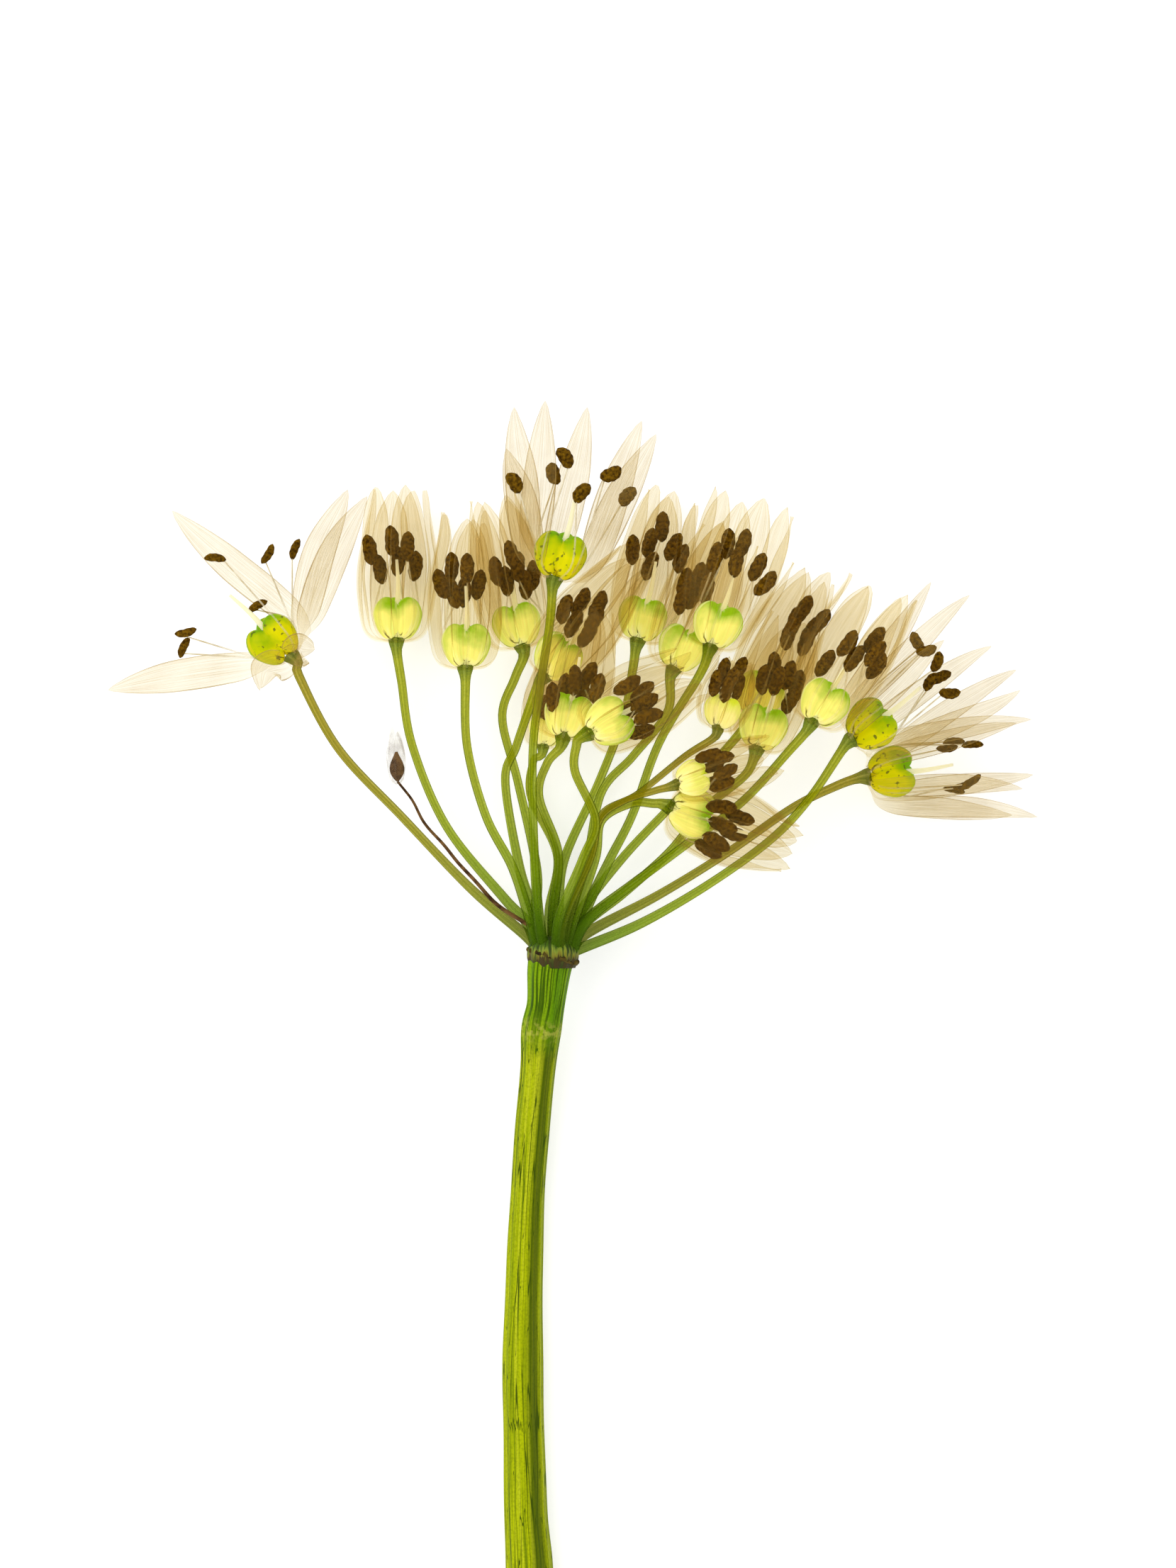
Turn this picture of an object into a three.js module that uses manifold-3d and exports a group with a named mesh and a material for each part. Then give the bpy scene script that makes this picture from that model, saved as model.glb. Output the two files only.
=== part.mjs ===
// Wild garlic flower head (Allium ursinum), cut and lying on a flat surface.
//
// Millimetres, +Z up. The cut stalk lies along -Y, the flowers fan out towards +Y, and the
// origin is on the surface under the middle of the bounding box.
//
// Pieces: one stalk (scape), the umbel base on which all flower stalks stand, twenty flower
// stalks (pedicels), twenty perianths (six petal-like tepals with the six stamens that are
// grown onto them), seventeen free pistils, and one withered flower on its thin stalk.

import * as THREE from 'three';
import { mergeVertices } from 'three/addons/utils/BufferGeometryUtils.js';
import Module from 'manifold-3d';

const wasm = await Module();
wasm.setup();

const { Vector3, CatmullRomCurve3 } = THREE;

// ---------------------------------------------------------------- driving dimensions

const GAP = 0.3; // clear space between neighbouring pieces

const TEPAL_LENGTH = 9.8;
const TEPAL_WIDTH = 2.2;
const TEPAL_THICKNESS = 0.2;
const BELLY_RADIUS = 1.95; // where the tepals pass around the ovary
const WHORL_STEP = 0.28; // the outer three tepals lie this much further out than the inner three
const BELLY_HEIGHT = 1.5;
const MOUTH_RADIUS = 1.5; // of the ring of tips of a closed flower
const TEPAL_COUNT = 6;
const OPEN_TEPAL_TURN = 0.6; // share of its length over which an open flower's tepal turns to face up

const DISC_RADIUS = 1.1; // receptacle, the small plate that carries the tepals
const DISC_THICKNESS = 0.35;

const FILAMENT_RADIUS = 0.08;
const FILAMENT_CLEARANCE = 0.17; // from the middle of an inner tepal to that of the filament
const ANTHER_RADIUS = 0.4;
const STAMEN_HEIGHT = 6.4;

const OVARY_RADIUS = 1.36;
const OVARY_HEIGHT = 2.7;
const STYLE_RADIUS = 0.2;
const STYLE_HEIGHT = 5.6;
const LOBE_DEPTH = 0.05; // of the three seed chambers, as a share of the radius

const PEDICEL_RADIUS = 0.38;
const PEDICEL_TOP_RADIUS = 0.62;
const PEDICEL_STEP = 2.6; // length of one straight length of a stalk

const BASE_CENTRE = new Vector3(0, -0.2, 4.0);
const BASE_RADIUS = 2.0;
const STUB_REACH = 4.6; // the grown-together foot of the flower stalks, from the base's centre
const COLLAR_RADIUS = 1.75; // scar that the dropped spathe left
const COLLAR_THICKNESS = 0.5;

const SCAPE_SIDES = 12;
const SEAT_DEPTH = 0.1; // everything this low on the lying stretch is pressed flat

// ---------------------------------------------------------------- colours

const finish = (color, roughness) => new THREE.MeshStandardMaterial({ color, roughness, metalness: 0 });

const SCAPE_GREEN = finish(0x9eac28, 0.55);
const BASE_GREEN = finish(0x46561a, 0.6);
const PEDICEL_GREEN = finish(0xb0bd5a, 0.55);
const TEPAL_WHITE = finish(0xece4d4, 0.6);
const OVARY_GREEN = finish(0xc8c83c, 0.4);
const WITHERED_BROWN = finish(0x6b4a28, 0.8);

// ---------------------------------------------------------------- where things are

// The stalk's middle line with its radius, from the cut end to the umbel base: [x, y, radius].
const SCAPE_LINE = [
  [-1.7, -44.0, 1.5],
  [-1.8, -40.5, 1.5],
  [-2.0, -37.5, 1.4],
  [-2.1, -33.6, 1.32],
  [-2.2, -28.0, 1.3],
  [-2.1, -22.0, 1.18],
  [-1.9, -17.0, 1.1],
  [-1.6, -12.7, 1.1],
  [-1.2, -8.4, 1.14],
  [-1.0, -6.1, 1.27],
  [-0.7, -4.4, 1.2],
  [-0.5, -2.3, 1.4],
];
const SCAPE_REST_END = -22.0; // the stalk lies flat up to here, then rises to the base

// One entry for each flower. foot is the top of its stalk, yaw turns its axis from +Y towards
// +X, pitch lifts the axis off the surface, tips lists the six tepal tips of an open flower and
// breadth is the width of its tepals.
const FLOWERS = [
  { foot: [-17.0, 17.9, 5.0], yaw: -45, pitch: 8, tips: [
    [-24.8, 27.0, 6.5], [-29.0, 15.9, 1.2], [-12.2, 28.2, 7.4],
    [-13.2, 28.4, 10.6], [-15.4, 18.0, 13.6], [-18.6, 15.8, 13.2] ] },
  { foot: [-10.3, 18.9, 2.8], yaw: 0, pitch: 0, roll: 8 },
  { foot: [-5.8, 17.1, 7.1], yaw: 0, pitch: 0, roll: 22 },
  { foot: [-2.2, 18.5, 2.8], yaw: -11, pitch: 0, roll: 4 },
  { foot: [-0.1, 22.7, 11.7], yaw: 14, pitch: 6, tips: [
    [-2.9, 33.6, 12.4], [-0.7, 33.9, 15.2], [2.1, 33.7, 9.6],
    [5.3, 32.8, 12.0], [6.3, 31.8, 15.0], [-3.4, 31.0, 9.8] ] },
  { foot: [-0.8, 16.6, 7.1], yaw: 38, pitch: 0, roll: 15 },
  { foot: [5.2, 18.9, 2.7], yaw: 13, pitch: 0, roll: 26 },
  { foot: [7.5, 17.0, 7.1], yaw: 23, pitch: 0, roll: 10 },
  { foot: [9.8, 18.4, 11.7], yaw: 17, pitch: 4, roll: 18, mouth: 2.4 },
  { foot: [10.2, 13.2, 13.4], yaw: 18, pitch: 0, roll: 0, length: 4.6, mouth: 0.9, joined: true },
  { foot: [0.4, 12.6, 12.2], yaw: 12, pitch: 0, roll: 20, length: 8.6 },
  { foot: [2.0, 12.9, 17.2], yaw: 59, pitch: -5, roll: 12, length: 8.0 },
  { foot: [-0.9, 12.1, 2.4], yaw: 10, pitch: 0, roll: 25, length: 5.8, mouth: 0.9, joined: true },
  { foot: [12.5, 14.1, 2.8], yaw: 24, pitch: 0, roll: 6, length: 10.3 },
  { foot: [12.8, 11.9, 7.5], yaw: 16, pitch: 0, roll: 17, length: 8.6 },
  { foot: [16.2, 13.6, 11.8], yaw: 30, pitch: 2, roll: 2, mouth: 2.2 },
  { foot: [18.9, 12.5, 7.0], yaw: 52, pitch: 5, breadth: 1.6, tips: [
    [24.0, 22.6, 7.6], [26.0, 22.0, 10.6], [27.7, 18.9, 4.4],
    [29.2, 17.2, 8.4], [29.7, 15.2, 11.0], [24.4, 19.0, 12.6] ] },
  { foot: [20.0, 10.2, 2.8], yaw: 82, pitch: 0, breadth: 1.5, tips: [
    [30.5, 14.3, 3.2], [30.8, 10.2, 0.8], [31.0, 8.0, 3.4],
    [29.4, 13.8, 6.6], [29.8, 9.8, 6.8], [29.4, 7.6, 1.2] ] },
  { foot: [7.6, 9.7, 14.8], yaw: 72, pitch: 10, roll: 14, length: 6.4, mouth: 1.2, joined: true },
  { foot: [7.2, 8.3, 10.2], yaw: 109, pitch: 0, roll: 9, length: 8.4 },
];

// The route of each flower's stalk, from the umbel base towards the flower's foot, which ends it.
const ROUTES = [
  [[-1.9, -0.1, 3.8], [-5.5, 3.0, 4.4], [-9.9, 7.6, 5.0], [-14.0, 12.0, 5.3], [-16.5, 16.6, 5.2]],
  [[-1.9, 0.8, 3.0], [-3.4, 2.4, 2.5], [-7.1, 7.0, 2.0], [-9.3, 12.2, 2.2], [-10.0, 16.4, 2.4]],
  [[-1.8, 1.4, 4.9], [-2.8, 4.4, 6.0], [-4.5, 7.7, 6.7], [-5.7, 12.2, 7.0]],
  [[-1.3, 1.4, 2.8], [-1.3, 4.4, 1.8], [-2.5, 9.9, 1.5], [-3.5, 14.0, 2.0], [-2.7, 16.5, 2.4]],
  [[-1.1, 0.9, 5.4], [-1.4, 5.1, 7.8], [-1.5, 11.6, 9.6], [-1.0, 16.0, 9.9], [-0.4, 20.0, 10.8]],
  [[-1.5, 1.5, 3.9], [-2.4, 4.4, 3.9], [-3.3, 9.9, 4.6], [-2.6, 12.1, 5.6], [-1.7, 14.7, 6.6]],
  [[0.1, 1.6, 2.6], [0.5, 4.9, 1.4], [2.7, 9.8, 1.1], [4.3, 14.0, 1.6], [4.9, 17.1, 2.3]],
  [[0.9, 1.4, 4.4], [2.0, 5.0, 4.6], [2.9, 9.2, 5.2], [4.9, 11.5, 6.1], [7.1, 14.3, 6.9]],
  [[1.9, 1.6, 4.3], [3.4, 4.8, 5.2], [4.9, 7.8, 6.4], [6.6, 12.4, 8.6], [9.1, 16.6, 11.0]],
  [[0.9, 1.4, 5.2], [2.1, 5.0, 6.9], [2.9, 7.8, 8.2], [5.2, 9.1, 9.7], [8.2, 11.5, 12.4]],
  [[-0.2, 1.7, 3.6], [0.1, 5.3, 3.2], [-1.1, 8.9, 6.0], [-0.6, 11.0, 9.4]],
  [[0.2, 1.2, 5.9], [1.7, 5.0, 9.6], [2.5, 7.4, 11.4], [1.2, 10.5, 14.4], [1.3, 12.2, 16.3]],
  [[-0.5, 1.6, 3.2], [0.0, 5.1, 2.2], [-1.7, 8.9, 2.9], [-1.5, 11.2, 2.5]],
  [[1.5, 1.4, 2.9], [4.2, 4.9, 1.9], [7.2, 8.1, 1.6], [10.4, 11.4, 1.9]],
  [[1.9, 0.8, 3.6], [4.3, 2.7, 3.8], [7.2, 5.3, 4.5], [9.5, 8.1, 5.4], [12.0, 10.2, 6.6]],
  [[1.9, 0.9, 4.8], [4.9, 3.3, 5.1], [8.0, 5.6, 5.9], [11.9, 8.6, 7.6], [14.9, 11.9, 10.2]],
  [[1.7, -0.8, 3.4], [5.5, 0.8, 4.0], [9.8, 3.3, 4.6], [13.8, 6.2, 5.3], [16.3, 8.9, 6.0]],
  [[1.9, 0.1, 2.8], [6.6, 2.6, 2.4], [11.0, 5.3, 2.3], [15.2, 8.2, 2.4], [18.0, 9.6, 2.6]],
  [[0.6, 1.3, 5.8], [2.2, 5.0, 8.4], [2.8, 7.5, 9.6], [4.2, 8.6, 11.2], [6.2, 9.3, 13.3]],
  [[1.2, 1.2, 4.9], [2.5, 5.0, 6.0], [2.9, 7.4, 7.1], [4.8, 8.5, 8.2], [6.2, 8.5, 9.4]],
];

// The withered flower: its thread-like stalk, which ends in the shrunken flower.
const THREAD_ROUTE = [
  [-1.7, 0.6, 4.6], [-3.9, 2.1, 5.6], [-6.0, 4.4, 5.9], [-8.0, 6.7, 5.9], [-9.4, 8.8, 5.8], [-10.1, 9.9, 5.8],
];
const THREAD_RADIUS = 0.22;
const WITHERED_LENGTH = 3.0;
const WITHERED_RADIUS = 0.75;

// ---------------------------------------------------------------- solids and meshes

/** A closed geometry as a manifold solid. */
function solidOf(geometry) {
  const bare = geometry.clone();
  bare.deleteAttribute('normal');
  bare.deleteAttribute('uv');
  const merged = mergeVertices(bare, 1e-5);
  return new wasm.Manifold(new wasm.Mesh({
    numProp: 3,
    vertProperties: new Float32Array(merged.attributes.position.array),
    triVerts: new Uint32Array(merged.index.array),
  }));
}

/** A manifold solid as a three.js geometry. */
function geometryOf(solid) {
  const mesh = solid.getMesh();
  const geometry = new THREE.BufferGeometry();
  geometry.setAttribute('position', new THREE.BufferAttribute(mesh.vertProperties, 3));
  geometry.setIndex(new THREE.BufferAttribute(mesh.triVerts, 1));
  geometry.computeVertexNormals();
  return geometry;
}

/** All geometries joined into one. */
function joined(geometries) {
  return geometryOf(geometries.map(solidOf).reduce((whole, next) => whole.add(next)));
}

/** The geometry with each vertex moved to place(x, y, z). */
function reshaped(geometry, place) {
  const position = geometry.attributes.position;
  for (let i = 0; i < position.count; i += 1) {
    const point = place(position.getX(i), position.getY(i), position.getZ(i));
    position.setXYZ(i, point.x, point.y, point.z);
  }
  return geometry;
}

/** The value of a list of evenly spaced numbers at t from 0 to 1, straight between them. */
function along(values, t) {
  const place = Math.min(Math.max(t, 0), 1) * (values.length - 1);
  const first = Math.min(Math.floor(place), values.length - 2);
  return THREE.MathUtils.lerp(values[first], values[first + 1], place - first);
}

/** Directions across a curve at t: one in the surface's plane, one standing up from it. */
function across(curve, t) {
  const forward = curve.getTangentAt(t);
  const side = new Vector3().crossVectors(forward, new Vector3(0, 0, 1)).normalize();
  const up = new Vector3().crossVectors(side, forward);
  return { side, up };
}

/** A closed round rod along a curve from arc share t0 to t1, its radius read off a list. */
function rod(curve, t0, t1, radii, sides, steps) {
  const cylinder = new THREE.CylinderGeometry(1, 1, 1, sides, steps);
  return reshaped(cylinder, (x, y, z) => {
    const share = y + 0.5;
    const t = THREE.MathUtils.lerp(t0, t1, share);
    const { side, up } = across(curve, t);
    const radius = along(radii, share);
    return curve.getPointAt(t).addScaledVector(side, x * radius).addScaledVector(up, z * radius);
  });
}

// ---------------------------------------------------------------- flowers

/** A flower's foot, its axis and the two directions across it. */
function frameOf(flower) {
  const yaw = THREE.MathUtils.degToRad(flower.yaw);
  const pitch = THREE.MathUtils.degToRad(flower.pitch);
  const level = Math.cos(pitch);
  const axis = new Vector3(Math.sin(yaw) * level, Math.cos(yaw) * level, Math.sin(pitch));
  const side = new Vector3().crossVectors(axis, new Vector3(0, 0, 1)).normalize();
  const up = new Vector3().crossVectors(side, axis);
  return { foot: new Vector3(...flower.foot), axis, side, up };
}

/** The point at a height along the flower's axis and a distance out from it. */
function pointOut(frame, outward, height, radius) {
  return frame.foot.clone().addScaledVector(frame.axis, height).addScaledVector(outward, radius);
}

/** The six tip points of a flower, each with the direction in which its tepal leaves the axis. */
function tepalTargets(flower, frame) {
  if (flower.tips) {
    return flower.tips.map((place) => {
      const tip = new Vector3(...place);
      const reach = tip.clone().sub(frame.foot);
      const outward = reach.clone().addScaledVector(frame.axis, -reach.dot(frame.axis)).normalize();
      return { tip, outward, whorl: 0 };
    });
  }
  const length = flower.length ?? TEPAL_LENGTH;
  const mouth = flower.mouth ?? MOUTH_RADIUS;
  return Array.from({ length: TEPAL_COUNT }, (_, k) => {
    const angle = THREE.MathUtils.degToRad(flower.roll + (360 / TEPAL_COUNT) * k);
    const outward = frame.side.clone().multiplyScalar(Math.cos(angle));
    outward.addScaledVector(frame.up, Math.sin(angle));
    const whorl = k % 2 === 0 ? 0 : WHORL_STEP;
    return { tip: pointOut(frame, outward, length + whorl, mouth + whorl), outward, whorl };
  });
}

/** A flower's belly radius: open flowers are wider there, and small, young ones slimmer. */
function bellyOf(flower) {
  if (flower.tips) {
    return BELLY_RADIUS * 1.12;
  }
  return flower.joined ? BELLY_RADIUS * 0.72 : BELLY_RADIUS;
}

/** The direction across a blade that faces up, level and square to the way the blade runs. */
function levelAcross(forward, like) {
  const level = new Vector3().crossVectors(forward, new Vector3(0, 0, 1)).normalize();
  return level.dot(like) < 0 ? level.negate() : level;
}

/** One tepal: a flat pointed blade that leaves the disc, passes round the ovary and ends at its tip. */
function tepal(flower, frame, { tip, outward, whorl }) {
  const root = pointOut(frame, outward, DISC_THICKNESS * 0.5, DISC_RADIUS * 0.55);
  const belly = pointOut(frame, outward, BELLY_HEIGHT, bellyOf(flower) + whorl);
  const shoulder = belly.clone().lerp(tip, 0.45).addScaledVector(outward, 0.2);
  const curve = new CatmullRomCurve3([root, belly, shoulder, tip]);
  const tangential = new Vector3().crossVectors(frame.axis, outward);
  const widths = flower.tips ? [0.35, 0.6, 0.8, 0.9, 0.75, 0.1] : [0.35, 0.9, 0.85, 0.1];
  const blade = new THREE.BoxGeometry(1, 1, 1, 1, widths.length - 1, 1);
  return reshaped(blade, (x, y, z) => {
    const t = y + 0.5;
    const forward = curve.getTangentAt(t);
    const broad = tangential.clone();
    if (flower.tips) {
      const turn = Math.min(t / OPEN_TEPAL_TURN, 1);
      broad.lerp(levelAcross(forward, tangential), turn).normalize();
    }
    const face = new Vector3().crossVectors(broad, forward).normalize();
    return curve.getPointAt(t)
      .addScaledVector(broad, x * (flower.breadth ?? TEPAL_WIDTH) * along(widths, t))
      .addScaledVector(face, z * TEPAL_THICKNESS);
  });
}

/** One stamen: a thin filament grown onto the foot of its tepal, with the pollen sac at its end. */
function stamen(flower, frame, { tip, outward }, k) {
  const scale = flower.joined ? 0.7 : 1;
  const height = (STAMEN_HEIGHT - (k % 2) * 1.3) * scale;
  const root = pointOut(frame, outward, DISC_THICKNESS * 0.5, DISC_RADIUS * 0.6);
  const belly = pointOut(frame, outward, BELLY_HEIGHT * 1.2, bellyOf(flower) - FILAMENT_CLEARANCE);
  const end = pointOut(frame, outward, height, 0.95 * scale);
  if (flower.tips) {
    end.copy(belly).lerp(tip, 0.5).addScaledVector(frame.axis, 1.0);
  }
  const curve = new CatmullRomCurve3([root, belly, end]);
  const radii = [FILAMENT_RADIUS, FILAMENT_RADIUS, ANTHER_RADIUS * scale, FILAMENT_RADIUS];
  return rod(curve, 0, 1, radii, 3, radii.length - 1);
}

/** A solid of revolution on the flower's axis with three shallow lobes, from [radius, height] pairs. */
function lobedBody(frame, profile, sides) {
  const lathe = new THREE.LatheGeometry(profile.map(([r, h]) => new THREE.Vector2(r, h)), sides);
  return reshaped(lathe, (x, y, z) => {
    const swell = 1 + LOBE_DEPTH * Math.cos(3 * Math.atan2(z, x));
    return frame.foot.clone()
      .addScaledVector(frame.axis, y)
      .addScaledVector(frame.side, x * swell)
      .addScaledVector(frame.up, z * swell);
  });
}

/** The ovary with its style, standing clear of the disc. */
function pistil(flower, frame, foot, sides) {
  const scale = flower.joined ? 0.65 : 1;
  const radius = OVARY_RADIUS * scale;
  const height = OVARY_HEIGHT * scale;
  return lobedBody(frame, [
    [0, foot],
    [radius * 0.65, foot + height * 0.08],
    [radius, foot + height * 0.5],
    [STYLE_RADIUS, foot + height],
    [STYLE_RADIUS * 0.8, foot + STYLE_HEIGHT * scale],
    [0, foot + STYLE_HEIGHT * scale],
  ], sides);
}

/** The receptacle: a small six-sided plate across the flower's axis. */
function disc(frame) {
  return lobedBody(frame, [[0, 0], [DISC_RADIUS, 0], [DISC_RADIUS, DISC_THICKNESS], [0, DISC_THICKNESS]], 6);
}

/** The whole perianth: disc, tepals and stamens, with the ovary too where it is grown in. */
function perianth(flower) {
  const frame = frameOf(flower);
  const targets = tepalTargets(flower, frame);
  const pieces = [disc(frame)];
  pieces.push(...targets.map((target) => tepal(flower, frame, target)));
  pieces.push(...targets.map((target, k) => stamen(flower, frame, target, k)));
  if (flower.joined) {
    pieces.push(pistil(flower, frame, DISC_THICKNESS / 2, 6));
  }
  return joined(pieces);
}

// ---------------------------------------------------------------- stalks

/** The smooth line of a flower's stalk, ending along the flower's axis at its foot. */
function stalkLine(route, flower) {
  const frame = frameOf(flower);
  const points = route.map((place) => new Vector3(...place));
  const inside = BASE_CENTRE.clone().lerp(points[0], 0.3);
  const before = pointOut(frame, frame.side, -1.2, 0);
  return new CatmullRomCurve3([inside, ...points, before, frame.foot]);
}

/** The arc share at which a line leaves the ball of the given radius round the umbel base. */
function shareAt(curve, reach) {
  const samples = 200;
  for (let i = 0; i <= samples; i += 1) {
    if (curve.getPointAt(i / samples).distanceTo(BASE_CENTRE) >= reach) {
      return i / samples;
    }
  }
  return 1;
}

/** The free part of a flower stalk, from just outside the umbel base to just below the flower. */
function pedicel(curve) {
  const length = curve.getLength();
  const steps = Math.round(length / PEDICEL_STEP) + 1;
  const radii = Array.from({ length: 10 }, (_, i) => (i < 9 ? PEDICEL_RADIUS : PEDICEL_TOP_RADIUS));
  return rod(curve, shareAt(curve, STUB_REACH + GAP), 1 - GAP / length, radii, 6, steps);
}

const stalkLines = FLOWERS.map((flower, i) => stalkLine(ROUTES[i], flower));
const threadLine = new CatmullRomCurve3(THREAD_ROUTE.map((p) => new Vector3(...p)));

/** The umbel base: a round knob, the spathe's scar as a collar, and the feet of all flower stalks. */
function umbelBase() {
  const knob = new THREE.SphereGeometry(BASE_RADIUS, 9, 6);
  knob.translate(BASE_CENTRE.x, BASE_CENTRE.y, BASE_CENTRE.z);
  const collar = new THREE.CylinderGeometry(COLLAR_RADIUS, COLLAR_RADIUS * 0.85, COLLAR_THICKNESS, 10);
  collar.translate(-0.3, BASE_CENTRE.y - 1.35, BASE_CENTRE.z);
  const feet = stalkLines.map((curve) => {
    const end = shareAt(curve, STUB_REACH);
    return rod(curve, 0, end, [PEDICEL_RADIUS, PEDICEL_RADIUS], 5, 2);
  });
  return joined([knob, collar, ...feet]);
}

/** The stalk: round above, with a flat strip below where it lies on the surface. */
function scape() {
  const flatShare = Math.cos(Math.PI / SCAPE_SIDES);
  const rise = BASE_CENTRE.z - SCAPE_LINE.at(-1)[2];
  const line = SCAPE_LINE.map(([x, y, radius]) => {
    const share = Math.max(0, (y - SCAPE_REST_END) / (SCAPE_LINE.at(-1)[1] - SCAPE_REST_END));
    return new Vector3(x, y, radius * flatShare + rise * share ** 2);
  });
  const curve = new CatmullRomCurve3(line);
  const radii = SCAPE_LINE.map(([, , radius]) => radius);
  const flatRows = SCAPE_LINE.filter(([, y]) => y <= SCAPE_REST_END).length / SCAPE_LINE.length;
  const turned = Math.PI / SCAPE_SIDES; // brings one side of the stalk flat onto the surface
  const cylinder = new THREE.CylinderGeometry(1, 1, 1, SCAPE_SIDES, SCAPE_LINE.length - 1);
  cylinder.rotateY(turned);
  return reshaped(cylinder, (x, y, z) => {
    const share = y + 0.5;
    const { side, up } = across(curve, share);
    const radius = along(radii, share);
    const point = curve.getPoint(share).addScaledVector(side, x * radius).addScaledVector(up, z * radius);
    if (share <= flatRows && point.z < SEAT_DEPTH) {
      point.z = 0;
    }
    return point;
  });
}

/** The withered flower: a shrunken spindle on its thread-like stalk. */
function witheredFlower() {
  const length = threadLine.getLength();
  const start = (STUB_REACH + GAP) / length;
  const thread = rod(threadLine, start, 1, [THREAD_RADIUS, THREAD_RADIUS], 5, 7);
  const end = threadLine.getPointAt(1);
  const frame = frameOf({ foot: end.toArray(), yaw: -4, pitch: 0 });
  const spindle = lobedBody(frame, [
    [0, -0.3],
    [WITHERED_RADIUS * 0.5, 0],
    [WITHERED_RADIUS, WITHERED_LENGTH * 0.4],
    [WITHERED_RADIUS * 0.6, WITHERED_LENGTH * 0.7],
    [WITHERED_RADIUS * 0.5, WITHERED_LENGTH],
    [0, WITHERED_LENGTH],
  ], 7);
  return joined([thread, spindle]);
}

// ---------------------------------------------------------------- the flower head

const head = new THREE.Group();

function addPiece(name, geometry, material) {
  const mesh = new THREE.Mesh(geometry, material);
  mesh.name = name;
  head.add(mesh);
}

const twoDigits = (number) => String(number).padStart(2, '0');

addPiece('scape', scape(), SCAPE_GREEN);
addPiece('umbel_base', umbelBase(), BASE_GREEN);
addPiece('withered_flower', witheredFlower(), WITHERED_BROWN);
FLOWERS.forEach((flower, i) => {
  const number = twoDigits(i + 1);
  addPiece(`pedicel_${number}`, pedicel(stalkLines[i]), PEDICEL_GREEN);
  addPiece(`perianth_${number}`, perianth(flower), TEPAL_WHITE);
  if (!flower.joined) {
    const ovary = pistil(flower, frameOf(flower), DISC_THICKNESS + GAP, 8);
    addPiece(`pistil_${number}`, ovary, OVARY_GREEN);
  }
});

// The origin is on the surface, under the middle of the bounding box.
head.updateMatrixWorld(true);
const bounds = new THREE.Box3().setFromObject(head, true);
const middle = bounds.getCenter(new Vector3());
head.position.set(-middle.x, -middle.y, -bounds.min.z);

export default head;
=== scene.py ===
"""The looks of a cut wild garlic flower head that lies on a pale surface, seen from above.

Sizes in the tables are in millimetres in the plant's own frame: the middle of the umbel base is
near the origin, +Y runs towards the flowers and +Z up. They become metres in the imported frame.
"""
import logging
import math
from dataclasses import dataclass, field
from enum import Enum
from typing import Optional, Sequence

import bpy
import numpy as np
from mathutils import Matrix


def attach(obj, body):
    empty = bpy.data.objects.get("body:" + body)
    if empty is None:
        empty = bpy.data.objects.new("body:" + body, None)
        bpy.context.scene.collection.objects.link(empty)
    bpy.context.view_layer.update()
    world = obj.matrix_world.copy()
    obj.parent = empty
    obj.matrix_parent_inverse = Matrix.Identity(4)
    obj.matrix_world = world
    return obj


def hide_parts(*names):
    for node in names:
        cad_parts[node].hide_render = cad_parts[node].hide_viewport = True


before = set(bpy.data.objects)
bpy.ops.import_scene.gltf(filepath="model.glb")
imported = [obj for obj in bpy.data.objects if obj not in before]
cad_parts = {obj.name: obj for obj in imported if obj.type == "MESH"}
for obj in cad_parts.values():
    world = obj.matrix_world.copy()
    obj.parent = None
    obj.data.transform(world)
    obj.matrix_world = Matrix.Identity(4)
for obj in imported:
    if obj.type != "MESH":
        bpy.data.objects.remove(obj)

LOG = logging.getLogger("wild_garlic")
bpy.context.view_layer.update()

MM = 0.001
PLANT_SHIFT = np.array([-0.977, 5.058, 0.0])  # from the plant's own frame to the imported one, in mm

SCAPE_LINE = [
    (-1.7, -44.0, 1.5), (-1.8, -40.5, 1.5), (-2.0, -37.5, 1.4), (-2.1, -33.6, 1.32),
    (-2.2, -28.0, 1.3), (-2.1, -22.0, 1.18), (-1.9, -17.0, 1.1), (-1.6, -12.7, 1.1),
    (-1.2, -8.4, 1.14), (-1.0, -6.1, 1.27), (-0.7, -4.4, 1.2), (-0.5, -2.3, 1.4),
]
SCAPE_REST_END = -22.0
BASE_CENTRE = np.array([0.0, -0.2, 4.0])

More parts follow.
